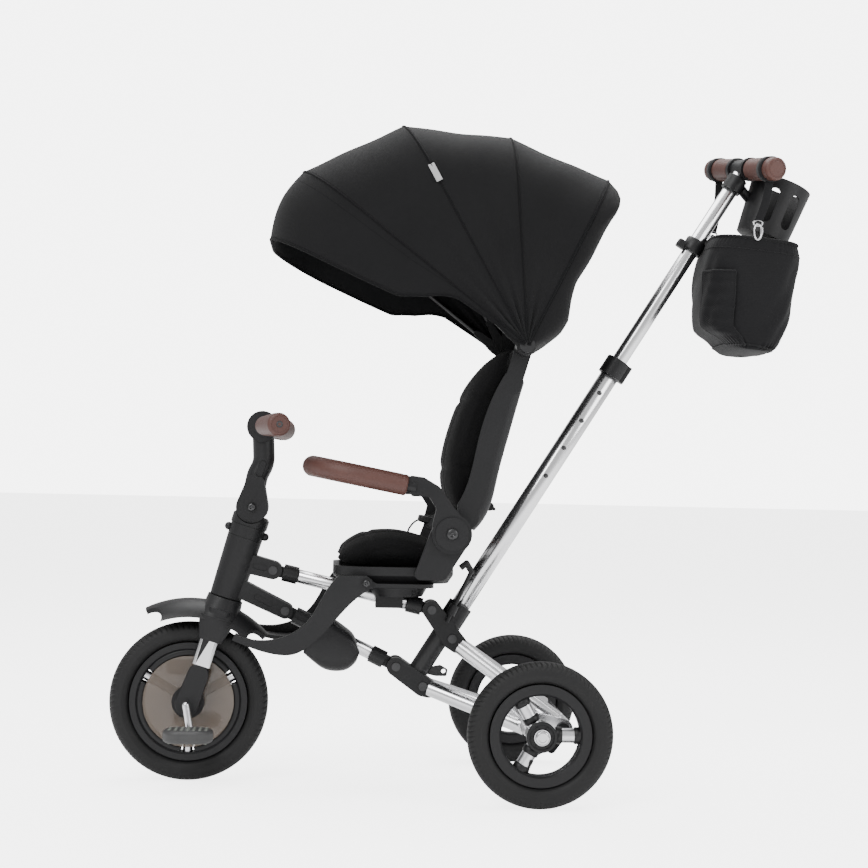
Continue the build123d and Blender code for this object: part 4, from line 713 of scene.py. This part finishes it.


# ---- seat cushion and harness ----
# Foam pad under black woven cloth, with sewn channels. The webbing harness is folded on it,
# with its buckle and two plain sewn labels.
def woven(name, dark, light, pitch, depth, rough=0.85, sheen=0.25):
    """Cloth whose threads cross square to each other: waves along the three directions, multiplied."""
    cloth = Surface(name, light, rough)
    split = cloth.node("ShaderNodeSeparateXYZ", {0: cloth.place})
    waves = [cloth.math("SINE", cloth.math("MULTIPLY", split.outputs[k], 2 * math.pi / pitch)) for k in range(3)]
    weave = cloth.math("ADD", cloth.math("MULTIPLY", waves[0], waves[2]), cloth.math("MULTIPLY", waves[1], waves[2]))
    wear = cloth.noise(7, 4)
    cloth.tint(dark, light, cloth.math("ADD", cloth.math("MULTIPLY", weave, 0.12), wear))
    cloth.relief(weave, depth)
    cloth.set(Sheen_Weight=sheen, Sheen_Roughness=0.5, Specular_IOR_Level=0.15)
    return cloth


seat_cloth = woven("seat_cloth", (0.0018, 0.0018, 0.002), (0.005, 0.005, 0.0053), 0.0016, 0.0001, 0.9, 0.04)
webbing = woven("harness_webbing", (0.004, 0.004, 0.0045), (0.011, 0.011, 0.012), 0.0022, 0.00012, 0.8, 0.08)


def pad_points(front, rear, half, power):
    """Pad between two lines seen from the side: at each step a ring, squared off by a power, goes from the
    first line to the second and is as wide as the pad, which narrows to nothing in a rounded end."""
    count = len(front)
    share = np.linspace(0, 1, count)
    narrow = (1 - np.abs(2 * share - 1) ** 5) ** 0.5
    narrow[[0, -1]] = 0.25
    turn = np.linspace(0, 2 * np.pi, 64, endpoint=False)
    c, s = squared(np.cos(turn), power), squared(np.sin(turn), 0.45)
    middle, reach = (front + rear) / 2, (rear - front) / 2
    points = middle[:, None] + c[None, :, None] * reach[:, None]
    points[..., 1] += s[None] * half * (0.86 + 0.14 * narrow)[:, None]
    return points


SWELL_CAP = 0.006


def stuffed(name, points, node, body):
    """Cushion blown up from a plain pad: its mesh is made even, drawn in a little, swelled as cloth under
    pressure, and each point may move no further than the cap."""
    made = outward(build(name, *grid_parts(points, loop_columns=True, closed=True), seat_cloth.material))
    made.data.materials.clear()
    remesh = made.modifiers.new("even", "REMESH")
    remesh.mode = "VOXEL"
    remesh.voxel_size = 0.005
    draw_in = made.modifiers.new("draw_in", "DISPLACE")
    draw_in.strength = -0.0035
    draw_in.mid_level = 0
    soften = made.modifiers.new("soften", "SMOOTH")
    soften.iterations = 8
    fix_mesh(made)
    cloth = made.modifiers.new("swell", "CLOTH")
    cloth.settings.use_pressure = True
    cloth.settings.uniform_pressure_force = 4
    cloth.settings.effector_weights.gravity = 0
    cloth.settings.quality = 5
    rest = read_points(made.data)
    for step in range(1, 21):
        bpy.context.scene.frame_set(step)
    swelled = made.evaluated_get(bpy.context.evaluated_depsgraph_get())
    moved = read_points(swelled.data) - rest
    far = np.linalg.norm(moved, axis=1, keepdims=True)
    moved *= np.minimum(1, SWELL_CAP / np.maximum(far, 1e-9))
    made.modifiers.clear()
    bpy.context.scene.frame_set(1)
    made.data.vertices.foreach_set("co", (rest + moved).ravel())
    made.data.materials.append(seat_cloth.material)
    made.data.polygons.foreach_set("use_smooth", np.ones(len(made.data.polygons), bool))
    covering(made, body, "black_fabric", node)
    return made


def read_points(mesh):
    """Every vertex of a mesh, as one array."""
    points = np.empty(len(mesh.vertices) * 3)
    mesh.vertices.foreach_get("co", points)
    return points.reshape(-1, 3)


def fix_mesh(piece):
    """Applies a piece's modifiers to its mesh."""
    made = bpy.data.meshes.new_from_object(piece.evaluated_get(bpy.context.evaluated_depsgraph_get()))
    piece.modifiers.clear()
    piece.data = made


def press_seams(piece, offsets, depth):
    """Sewn channels: points sink by depth times a narrow bell of their distance from each line, and offsets
    gives that distance for an array of points."""
    points = read_points(piece.data)
    normals = np.empty(len(points) * 3)
    piece.data.vertices.foreach_get("normal", normals)
    normals = normals.reshape(-1, 3)
    sink = sum(np.exp(-(offset(points) / 0.0045) ** 2) for offset in offsets)
    piece.data.vertices.foreach_set("co", (points - normals * (depth * np.clip(sink, 0, 1))[:, None]).ravel())
    finer = piece.modifiers.new("finer", "SUBSURF")
    finer.levels = finer.render_levels = 1


seat_top = smooth_path([at(224, 364), at(240, 381), at(262, 396), at(288, 405), at(320, 406), at(352, 401),
                        at(380, 392), at(399, 380)], 60)
seat_under = smooth_path([at(225, 361), at(245, 356), at(275, 354), at(310, 354), at(345, 354), at(375, 356),
                          at(390, 362), at(399, 374)], 60)
seat_pad = stuffed("seat_pad", pad_points(seat_top, seat_under, 0.101, 0.6), "seat_cushion", "frame")
seat_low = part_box("seat_cushion")[0]
press_seams(seat_pad, [lambda p: np.abs(p[:, 1]) - 0.052, lambda p: p[:, 0] - (seat_low.x + 0.058)], 0.003)

crotch = smooth_path([at(345, 398), at(349, 412), at(362, 424), at(380, 420), at(394, 409)], 30)
waist_near = smooth_path([at(412, 418, -92), at(400, 414, -80), at(388, 419, -55), at(384, 424, -30),
                          at(378, 423, -8)], 40)
waist_far = waist_near * np.array([1, -1, 1])
fitted("harness_straps", [ribbon_parts(crotch, 0.025, 0.0018, (0, 1, 0)),
                          ribbon_parts(waist_near, 0.022, 0.0018, (0.6, 0, 0.8)),
                          ribbon_parts(waist_far, 0.022, 0.0018, (0.6, 0, 0.8))],
       webbing, "frame", "webbing", "harness")


def slab_parts(centre, size, lean=(1, 0, 0), power=0.35, rows=14, columns=28):
    """Rounded block: a ball whose coordinates are flattened by a power into a box, with lean as its length."""
    along = unit(lean)
    wide = unit(np.cross((0, 0, 1), along))
    rise = np.cross(along, wide)
    tilt = np.linspace(-np.pi / 2 + 0.02, np.pi / 2 - 0.02, rows)[:, None]
    turn = np.linspace(0, 2 * np.pi, columns, endpoint=False)[None]

    level, round_c, round_s = (squared(value, power) for value in (np.cos(tilt), np.cos(turn), np.sin(turn)))
    x, y = level * round_c, level * round_s
    z = squared(np.sin(tilt), power) + 0 * turn
    half = np.asarray(size) / 2
    points = (np.asarray(centre) + half[0] * x[..., None] * along + half[1] * y[..., None] * wide
              + half[2] * z[..., None] * rise)
    return grid_parts(points, loop_columns=True, closed=True)


fitted("harness_buckle", [slab_parts(at(380, 424, 0), (0.036, 0.044, 0.012), (1, 0, -0.25)),
                          slab_parts(at(380, 430, 0), (0.016, 0.018, 0.004), (1, 0, -0.25))],
       black_plastic, "frame", "black_plastic")


def plain_cloth(name, colour, rough=0.8):
    """Thin printed cloth of one colour, slightly mottled."""
    cloth = Surface(name, colour, rough)
    cloth.tint(tuple(0.8 * c for c in colour), colour, cloth.noise(60, 4))
    cloth.relief(cloth.noise(1500), 0.0002)
    return cloth


red_label = plain_cloth("red_label", (0.55, 0.03, 0.02))
white_label = plain_cloth("white_label", (0.75, 0.75, 0.74))
for label_name, label, spots in (
        ("red_harness_label", red_label, [at(413, 420, -93), at(404, 417, -88), at(397, 417, -80)]),
        ("white_harness_label", white_label, [at(424, 432, -94), at(416, 425, -95), at(411, 419, -93)])):
    tape = ribbon_parts(smooth_path(spots, 14), 0.019, 0.0026, (0.5, 0, 0.85))
    fitted(label_name, [tape], label, "frame", "webbing")


# ---- safety bar ----
# Steel hoop on two moulded arms, with a brown leather cover laced over foam. The cover's seam is on the
# underside, and a hem closes each end.
def rounded_path(corners, radius, count):
    """Evenly spaced points along straight runs joined by arcs of one radius."""
    corners = [np.asarray(c, float) for c in corners]
    pieces = [corners[0][None]]
    for before, corner, after in zip(corners, corners[1:], corners[2:]):
        first, second = unit(before - corner), unit(after - corner)
        half_angle = math.acos(float(np.clip(first @ second, -1, 1))) / 2
        centre = corner + unit(first + second) * radius / math.sin(half_angle)
        reach = radius / math.tan(half_angle)
        spread = np.linspace(0, 1, 24)[:, None]
        chord = (corner + first * reach) * (1 - spread) + (corner + second * reach) * spread - centre
        pieces.append(centre + radius * chord / np.linalg.norm(chord, axis=1, keepdims=True))
    return evenly(np.vstack([*pieces, corners[-1][None]]), count)


BAR_SIDE = 134.0
bar_cover_path = rounded_path([at(338.5, 480.5, -BAR_SIDE), at(191, 508, -BAR_SIDE), at(191, 508, BAR_SIDE),
                               at(338.5, 480.5, BAR_SIDE)], 0.07, 260)
cover_turn = np.linspace(0, 2 * np.pi, 56, endpoint=False)
cover_groove = 0.0012 * np.exp(-(np.abs((cover_turn - 1.5 * np.pi)) / 0.08) ** 2)
cover_length = np.linspace(0, 1, 260)
end_distance = np.minimum(cover_length, 1 - cover_length) * 0.62
cover_r = 0.0166 - 0.004 * (1 - np.clip(end_distance / 0.004, 0, 1)) ** 2 - 0.0007 * np.exp(
    -((end_distance - 0.011) / 0.0012) ** 2)
cover_reach = cover_r[:, None] - cover_groove[None] + 0.00025 * np.sin(cover_length * 700)[:, None] * np.exp(
    -(np.abs(cover_turn - 1.5 * np.pi) / 0.3) ** 2)[None]
cover_profile = np.stack([cover_reach * np.cos(cover_turn), cover_reach * np.sin(cover_turn)], -1)
bar_rise = np.array([28.0, 0, 147.5])
bar_cover = skin("bar_cover", swept(bar_cover_path, cover_profile, bar_rise), leather.material, loop_columns=True,
                 closed=True)
covering(bar_cover, "safety_bar_unit", "brown_leather", "bar_wrap")


# ---- backrest ----
# Foam back cushion under the same black cloth, with two sewn channels, held in the moulded shell by
# straps that come out over its top.
back_front = smooth_path([at(421, 436), at(409, 456), at(401, 492), at(403, 541), at(419, 597), at(441, 646),
                          at(473, 685), at(500, 706)], 80)
back_rear = smooth_path([at(431, 432), at(446, 448), at(460, 492), at(474, 541), at(487, 597), at(498, 646),
                         at(505, 680), at(505, 702)], 80)
back_pad = stuffed("back_pad", pad_points(back_front, back_rear, 0.1, 0.6), "backrest_cushion", "backrest")
press_seams(back_pad, [lambda p: np.abs(p[:, 1]) - 0.045, lambda p: p[:, 2] - 0.62, lambda p: p[:, 2] - 0.51], 0.003)
top_strap = smooth_path([at(498, 662), at(507, 690), at(516, 706), at(522, 694), at(521, 668)], 30)
fitted("back_top_strap", [ribbon_parts(top_strap, 0.09, 0.0022, (0, 1, 0))], webbing, "backrest", "webbing")


# ---- push bar ----
# Polished telescoping tube with a moulded tee. Brown leather covers both halves of the handle, and a
# black hook-and-loop band round each holds one of the bag's straps.
PUSH_LEAN, HANDLE_TURN = math.radians(32), math.radians(17)
push_up = np.array([math.sin(PUSH_LEAN), 0, math.cos(PUSH_LEAN)])
push_back = np.array([math.cos(PUSH_LEAN), 0, -math.sin(PUSH_LEAN)])
handle_line = -math.sin(HANDLE_TURN) * push_back + np.array([0, math.cos(HANDLE_TURN), 0])
bar_foot = at(400, 232)
handle_centre = bar_foot + push_up * 0.922


def handle_at(across):
    """Point on the handle's line, this far from the tee in metres."""
    return handle_centre + handle_line * across


bright_tube("push_bar_outer", "push_outer_tube", "rear_frame", bar_foot + push_up * 0.030, bar_foot + push_up * 0.526,
            0.0155)
bright_tube("push_bar_inner", "push_inner_tube", "push_bar", bar_foot + push_up * 0.310, bar_foot + push_up * 0.910,
            0.0125)
stops = [lathe_parts(bar_foot + push_up * spot + np.array([0, -0.0146, 0]), (0, -1, 0),
                     [(-0.002, 0.0042), (0.0004, 0.0042), (0.0016, 0.003), (0.0018, 0.0006)], 24)
         for spot in (0.317, 0.371, 0.424, 0.478)]
fitted("height_stops", stops, black_screw, "rear_frame", "black_metal")

for side_name, face in (("left", NEAR), ("right", FAR)):
    turned_cover(f"{side_name}_handle_cover", handle_at(face * 0.028), handle_at(face * 0.1125),
                 [(0, 0.0182), (0.5, 0.0188), (1, 0.0186)], "push_bar", ["handle_grips"], -push_up)
band_shape = [(-0.0075, 0.0190), (-0.0070, 0.0206), (0.0070, 0.0206), (0.0075, 0.0190)]
bands = [lathe_parts(handle_at(face * 0.088), handle_line, band_shape, 48) for face in (NEAR, FAR)]
collar_middle = bar_foot + push_up * 0.768
bag_collar = lathe_parts(collar_middle, push_up,
                         [(-0.011, 0.0128), (-0.011, 0.0165), (-0.009, 0.0175), (0.009, 0.0175), (0.011, 0.0165),
                          (0.011, 0.0128)], 40)
collar_clip = slab_parts(collar_middle + np.array([-0.020, 0, 0.004]), (0.016, 0.018, 0.014), -push_back)
fitted("bag_collar", [bag_collar, collar_clip], black_plastic, "push_bar", "black_plastic")
fitted("handle_bands", bands, webbing, "push_bar", "webbing", "bag_straps")


# ---- bag ----
# Soft bag of black woven cloth that hangs behind the push bar. Its mouth is gathered by elastic in a hem,
# a pleated mesh pocket is sewn on, and each strap ends in a snap hook on the rim.
bag_cloth = woven("bag_cloth", (0.005, 0.005, 0.0055), (0.011, 0.011, 0.012), 0.0024, 0.00012, 0.9, 0.08)
bag_front = smooth_path([at(889, 705), at(866, 712), at(842, 731), at(822, 743), at(815, 756), at(815, 800),
                         at(816, 846), at(823, 880), at(834, 897)], 90)
bag_rear = smooth_path([at(891, 706), at(918, 708), at(937, 717), at(953, 752), at(962, 785), at(971, 828),
                        at(974, 862), at(969, 885)], 90)
BAG_TURNS = 150
bag_turn = np.linspace(0, 2 * np.pi, BAG_TURNS, endpoint=False)
bag_share = np.linspace(0, 1, 90)


def bag_points(rows, turns, push_out=0.0):
    """Points on the bag: between its front and rear lines, rings squared off by a power of 0.55, as wide as
    the bag is at that height, with soft creases that fade out towards the mouth."""
    share = bag_share[rows][:, None]
    front, rear = bag_front[rows], bag_rear[rows]
    width = (0.0835 * np.clip(share * 9, 0, 1) ** 0.5 * (0.93 + 0.1 * np.sin(np.pi * share ** 0.8)))
    squared_c, squared_s = squared(np.cos(turns)[None], 0.55), squared(np.sin(turns)[None], 0.55)
    crease = (0.0022 * np.sin(3 * turns[None] + 9 * share) * np.sin(np.pi * share)
              + 0.0012 * np.sin(11 * turns[None] - 16 * share + 1.3) * np.sin(np.pi * share))
    gather = 0.0013 * np.sin(52 * turns[None]) * np.clip((share - 0.86) / 0.14, 0, 1)
    pucker = 0.0016 * np.sin(40 * turns[None]) * np.exp(-((share - 0.17) / 0.05) ** 2)
    swell = 1 + (crease + gather + pucker + push_out) / 0.08
    middle, half = (front + rear) / 2, (rear - front) / 2
    points = middle[:, None] + (squared_c * swell)[..., None] * half[:, None]
    points[..., 1] += squared_s * width * swell
    return points


def thicken(piece, depth, offset=0.0):
    """Gives a sheet its thickness and applies it."""
    wall = piece.modifiers.new("wall", "SOLIDIFY")
    wall.thickness = depth
    wall.offset = offset
    fix_mesh(piece)
    return piece


all_rows = np.arange(90)
bag_grid = bag_points(all_rows, bag_turn)
bag_vertices, bag_faces = grid_parts(bag_grid, loop_columns=True)
bag_vertices = np.vstack([bag_vertices, bag_grid[0].mean(0)])
bag_faces += [[a, (a + 1) % BAG_TURNS, len(bag_vertices) - 1] for a in range(BAG_TURNS)]
bag_shell = thicken(build("bag_shell", bag_vertices, bag_faces, bag_cloth.material), 0.0022, -1)
covering(bag_shell, "push_bar", "black_fabric", "bag")


def ring_cord_parts(line, radius, sides=8):
    """Closed cord along a closed line of points, thick by radius."""
    run = np.roll(line, -1, axis=0) - np.roll(line, 1, axis=0)
    run /= np.linalg.norm(run, axis=1, keepdims=True)
    out = line - line.mean(0)
    out -= run * (out * run).sum(1, keepdims=True)
    out /= np.linalg.norm(out, axis=1, keepdims=True)
    rise = np.cross(run, out)
    turn = np.linspace(0, 2 * np.pi, sides, endpoint=False)
    points = line[:, None] + radius * (np.cos(turn)[:, None] * out[:, None] + np.sin(turn)[:, None] * rise[:, None])
    return grid_parts(points, loop_rows=True, loop_columns=True)


hems = [ring_cord_parts(bag_points(np.array([row]), bag_turn, out)[0], radius)
        for row, out, radius in ((88, 0.0, 0.0024), (80, 0.0002, 0.0008), (15, 0.0006, 0.0013))]
fitted("bag_hems", hems, webbing, "push_bar", "black_fabric")
pocket_cloth = woven("pocket_mesh", (0.0025, 0.0025, 0.003), (0.014, 0.014, 0.015), 0.0034, 0.0002, 0.85, 0.05)
pocket_turn = np.linspace(math.radians(196), math.radians(258), 70)
pocket_rows = np.arange(14, 66)
pocket = bag_points(pocket_rows, pocket_turn, 0.0035)
pleats = 0.0014 * np.abs(np.sin(np.arange(len(pocket_rows)) * 0.42))[:, None] * np.ones(70)[None]
pocket[..., 1] -= pleats
pocket[..., 0] -= pleats * 0.5
pocket_piece = thicken(skin("bag_pocket", pocket, pocket_cloth.material), 0.0012, 0)
covering(pocket_piece, "push_bar", "black_fabric")
pocket_edge = [cord_parts(pocket[0], 0.0016), cord_parts(pocket[-1], 0.0022), cord_parts(pocket[:, 0], 0.0012),
               cord_parts(pocket[:, -1], 0.0012)]
fitted("bag_pocket_binding", pocket_edge, webbing, "push_bar", "black_fabric")

strap_parts, hook_parts = [], []
for face, rim in ((NEAR, at(894, 893, -80)), (FAR, at(856, 897, 80))):
    top = handle_at(face * 0.088) - np.array([0, 0, 0.0185])
    eye = rim + np.array([0, 0, 0.022])
    strap_line = top + np.linspace(0, 1, 24)[:, None] * (eye - top)
    strap_line[:, 0] += 0.003 * np.sin(np.linspace(0, np.pi, 24))
    strap_parts.append(ribbon_parts(strap_line, 0.013, 0.0018, (1, 0, 0.1)))
    loop_line = np.stack([eye[0] + 0.0075 * np.cos(bag_turn[::6]), eye[1] + 0 * bag_turn[::6],
                          eye[2] - 0.002 + 0.0045 * np.sin(bag_turn[::6])], -1)
    hook_line = np.stack([rim[0] + 0.0062 * np.cos(bag_turn[::6]), rim[1] + 0 * bag_turn[::6],
                          rim[2] + 0.006 + 0.0125 * np.sin(bag_turn[::6])], -1)
    hook_parts += [ring_cord_parts(loop_line, 0.0012), ring_cord_parts(hook_line, 0.0016),
                   slab_parts(rim + np.array([0.006, 0, 0.008]), (0.004, 0.004, 0.012), (1, 0, 0))]
fitted("bag_hanging_straps", strap_parts, webbing, "push_bar", "webbing")
fitted("bag_snap_hooks", hook_parts, bright_steel, "push_bar", "steel")


# ---- canopy ----
# Black proofed cloth sewn over four bent wire hoops that fan out from a pivot on each side. Piping covers
# every hoop, a stiffened visor hangs from the front one, and a curtain closes the rear.
canopy_cloth = woven("canopy_cloth", (0.0032, 0.0032, 0.0036), (0.0075, 0.0075, 0.008), 0.0012, 0.00005, 0.8, 0.05)
piping_cloth = woven("canopy_piping", (0.0015, 0.0015, 0.002), (0.004, 0.004, 0.0045), 0.0018, 0.0001, 0.85, 0.03)
PIVOT = at(518, 702)
HALF, CORNER = 0.1575, 0.095
HOOPS = {"rear": (64, 0.3035), "upper_rear": (94.4, 0.337), "upper_front": (119.5, 0.401), "front": (142.5, 0.445)}
LEG, BEND, TOP = 44, 26, 40
leg_share, bend_share, top_share = (np.linspace(0, 1, n) for n in (LEG, BEND, TOP))


def arch(reach, start=0.004):
    """One arch as distances out from the pivot and across: up the left leg, round a quarter bend, over the
    top, and down the right one; with the direction that points into the canopy at each point."""
    bend = bend_share[1:] * np.pi / 2
    leg = start + (reach - CORNER - start) * leg_share
    out = np.r_[leg, reach - CORNER + CORNER * np.sin(bend)]
    side = np.r_[np.full(LEG, -HALF), -HALF + CORNER * (1 - np.cos(bend))]
    into_out = np.r_[np.zeros(LEG), -np.sin(bend)]
    into_side = np.r_[np.ones(LEG), np.cos(bend)]
    middle = (2 * top_share[1:-1] - 1) * (HALF - CORNER)
    out = np.r_[out, np.full(TOP - 2, reach), out[::-1]]
    side = np.r_[side, middle, -side[::-1]]
    into_out = np.r_[into_out, np.full(TOP - 2, -1.0), into_out[::-1]]
    into_side = np.r_[into_side, np.zeros(TOP - 2), -into_side[::-1]]
    return out, side, into_out, into_side


def fan_point(angle, out, side):
    """Points at an angle about the pivot, a distance out from it, and across."""
    angle = np.radians(angle)
    return np.stack([PIVOT[0] + out * np.cos(angle), side + 0 * out, PIVOT[2] + out * np.sin(angle)], -1)


def hoop_line(name):
    """Line of cloth over one hoop."""
    angle, reach = HOOPS[name]
    return fan_point(angle, *arch(reach)[:2])


def panel_points(first, second, sag, rows=34):
    """Cloth between two hoops: straight lines from one to the other, drawn in by the sag times a half wave,
    with pleats that gather towards the pivot."""
    (angle_a, reach_a), (angle_b, reach_b) = HOOPS[first], HOOPS[second]
    out_a, side, into_out, into_side = arch(reach_a)
    out_b = arch(reach_b)[0]
    a, b = fan_point(angle_a, out_a, side), fan_point(angle_b, out_b, side)
    share = np.linspace(0, 1, rows)[:, None]
    out_mean = (out_a * (1 - share) + out_b * share)
    fade = np.clip((out_mean - 0.05) / 0.16, 0, 1)
    hollow = sag * np.sin(np.pi * share) * (0.25 + 0.75 * fade)
    pleat = 0.0022 * np.sin(np.pi * share) * np.sin(5 * np.pi * share) * np.exp(-(out_mean / 0.16) ** 2)
    crease = 0.0011 * np.sin(np.pi * share) * np.sin(out_mean * 34 + share * 7 + side[None] * 19)
    depth = (hollow + pleat + crease)[..., None]
    angle = np.radians(angle_a + (angle_b - angle_a) * share)
    inward = np.stack([into_out[None] * np.cos(angle), into_side[None] + 0 * angle,
                       into_out[None] * np.sin(angle)], -1)
    return a[None] * (1 - share[..., None]) + b[None] * share[..., None] + depth * inward


def cloth_panel(name, points, node):
    """A sewn panel: one sheet of cloth of even thickness, in place of the CAD node that is named."""
    made = thicken(skin(name, points, canopy_cloth.material), 0.0014, 0)
    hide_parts(node)
    return made


BLEND_REACH = 0.2
for panel_name, first, second, body_a, body_b, node, sag in (
        ("roof_rear", "rear", "upper_rear", "backrest", "canopy_upper_rear", "canopy_panel_rear", 0.001),
        ("roof_top", "upper_rear", "upper_front", "canopy_upper_rear", "canopy_upper_front", "canopy_panel_top",
         0.001),
        ("roof_front", "upper_front", "front", "canopy_upper_front", "canopy_front", "canopy_panel_front", 0.0)):
    made = cloth_panel(panel_name, panel_points(first, second, sag), node)
    angle_a, angle_b = math.radians(HOOPS[first][0]), math.radians(HOOPS[second][0])
    reach = BLEND_REACH * math.sin(angle_b - angle_a)
    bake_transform(made)

for hoop_name, body in (("rear", "backrest"), ("upper_rear", "canopy_upper_rear"),
                        ("upper_front", "canopy_upper_front"), ("front", "canopy_front")):
    angle = math.radians(HOOPS[hoop_name][0])
    cord = cord_parts(hoop_line(hoop_name), 0.0021, (math.sin(angle), 0, -math.cos(angle)), 8)
    fitted(f"piping_{hoop_name}", [cord], piping_cloth, body, "black_fabric")

# visor: it runs on from the front hoop and its free edge turns back towards the pivot at both sides
visor_out, visor_side = arch(0.4345)[:2]
front_out = arch(HOOPS["front"][1])[0]
edge_angle = np.interp(visor_out, [0.004, 0.045, 0.13, 0.15, 0.175, 0.212, 0.30, 0.4345],
                       [170, 147.5, 147.5, 150.5, 156.0, 160.5, 159.4, 157.9])
visor_share = np.linspace(0, 1, 26)[:, None]
visor_start = fan_point(HOOPS["front"][0], front_out, visor_side)
visor_end = fan_point(edge_angle, visor_out, visor_side)
visor_points = visor_start[None] * (1 - visor_share[..., None]) + visor_end[None] * visor_share[..., None]
visor_fall = np.sin(np.pi * visor_share) * np.clip((visor_out - 0.15) / 0.2, 0, 1)[None]
visor_points += visor_fall[..., None] * 0.012 * np.array([-math.cos(math.pi / 6), 0, math.sin(math.pi / 6)])
visor = cloth_panel("visor", visor_points, "canopy_visor")
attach(visor, "canopy_front")
visor_edge = [cord_parts(visor_end, 0.0022, (0, 0, 1), 8), cord_parts(visor_points[4], 0.0009, (0, 0, 1), 6)]
fitted("visor_hem", visor_edge, piping_cloth, "canopy_front", "black_fabric")

# curtain: closes the rear hoop, stands out behind it like a shallow pillow, and falls to the backrest's top
curtain_rows = np.linspace(0, 1, 40)[:, None]
rear_angle, rear_reach = HOOPS["rear"]
across = np.linspace(-1, 1, 80)[None]
corner_fall = CORNER * (1 - np.sqrt(1 - np.clip((np.abs(across) * HALF - (HALF - CORNER)) / CORNER, 0, 1) ** 2))
curtain_top = rear_reach - corner_fall
curtain_out = 0.002 + (curtain_top - 0.002) * curtain_rows
stand_off = np.interp(curtain_out, [0.0, 0.02, 0.045, 0.069, 0.1, 0.128, 0.19, 0.254, 0.3, 0.32],
                      [0.012, 0.030, 0.040, 0.042, 0.034, 0.028, 0.030, 0.034, 0.028, 0.022])
bulge = stand_off * (1 - np.abs(across) ** 8) ** 0.5 * np.clip((1 - curtain_rows) / 0.06, 0, 1) ** 0.5
bulge = bulge * (1 + 0.05 * np.sin(5 * np.pi * curtain_rows + 2 * across))
behind_hoop = np.array([math.sin(math.radians(rear_angle)), 0, -math.cos(math.radians(rear_angle))])
curtain_points = fan_point(rear_angle, curtain_out, across * HALF + 0 * curtain_out) + bulge[..., None] * behind_hoop
curtain = cloth_panel("rear_curtain", curtain_points, "canopy_back_curtain")
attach(curtain, "backrest")
fitted("curtain_hem", [cord_parts(curtain_points[0], 0.0022, (0, 0, 1), 8)], piping_cloth, "backrest", "black_fabric")

# finger tab sewn into the piping of the upper front hoop
tab_cloth = plain_cloth("grey_tab", (0.42, 0.42, 0.42))
tab_spot = hoop_line("upper_front")[LEG - 2]
tab_out = np.array([-0.35, -0.55, 0.55])
tab_line = tab_spot + 0.0035 * tab_out + np.linspace(-0.5, 0.5, 10)[:, None] * np.array([[0.014, -0.004, -0.026]])
tab_tape = ribbon_parts(tab_line, 0.010, 0.0025, (0.85, 0, 0.45))
fitted("canopy_tab", [tab_tape], tab_cloth, "canopy_upper_front", "webbing")
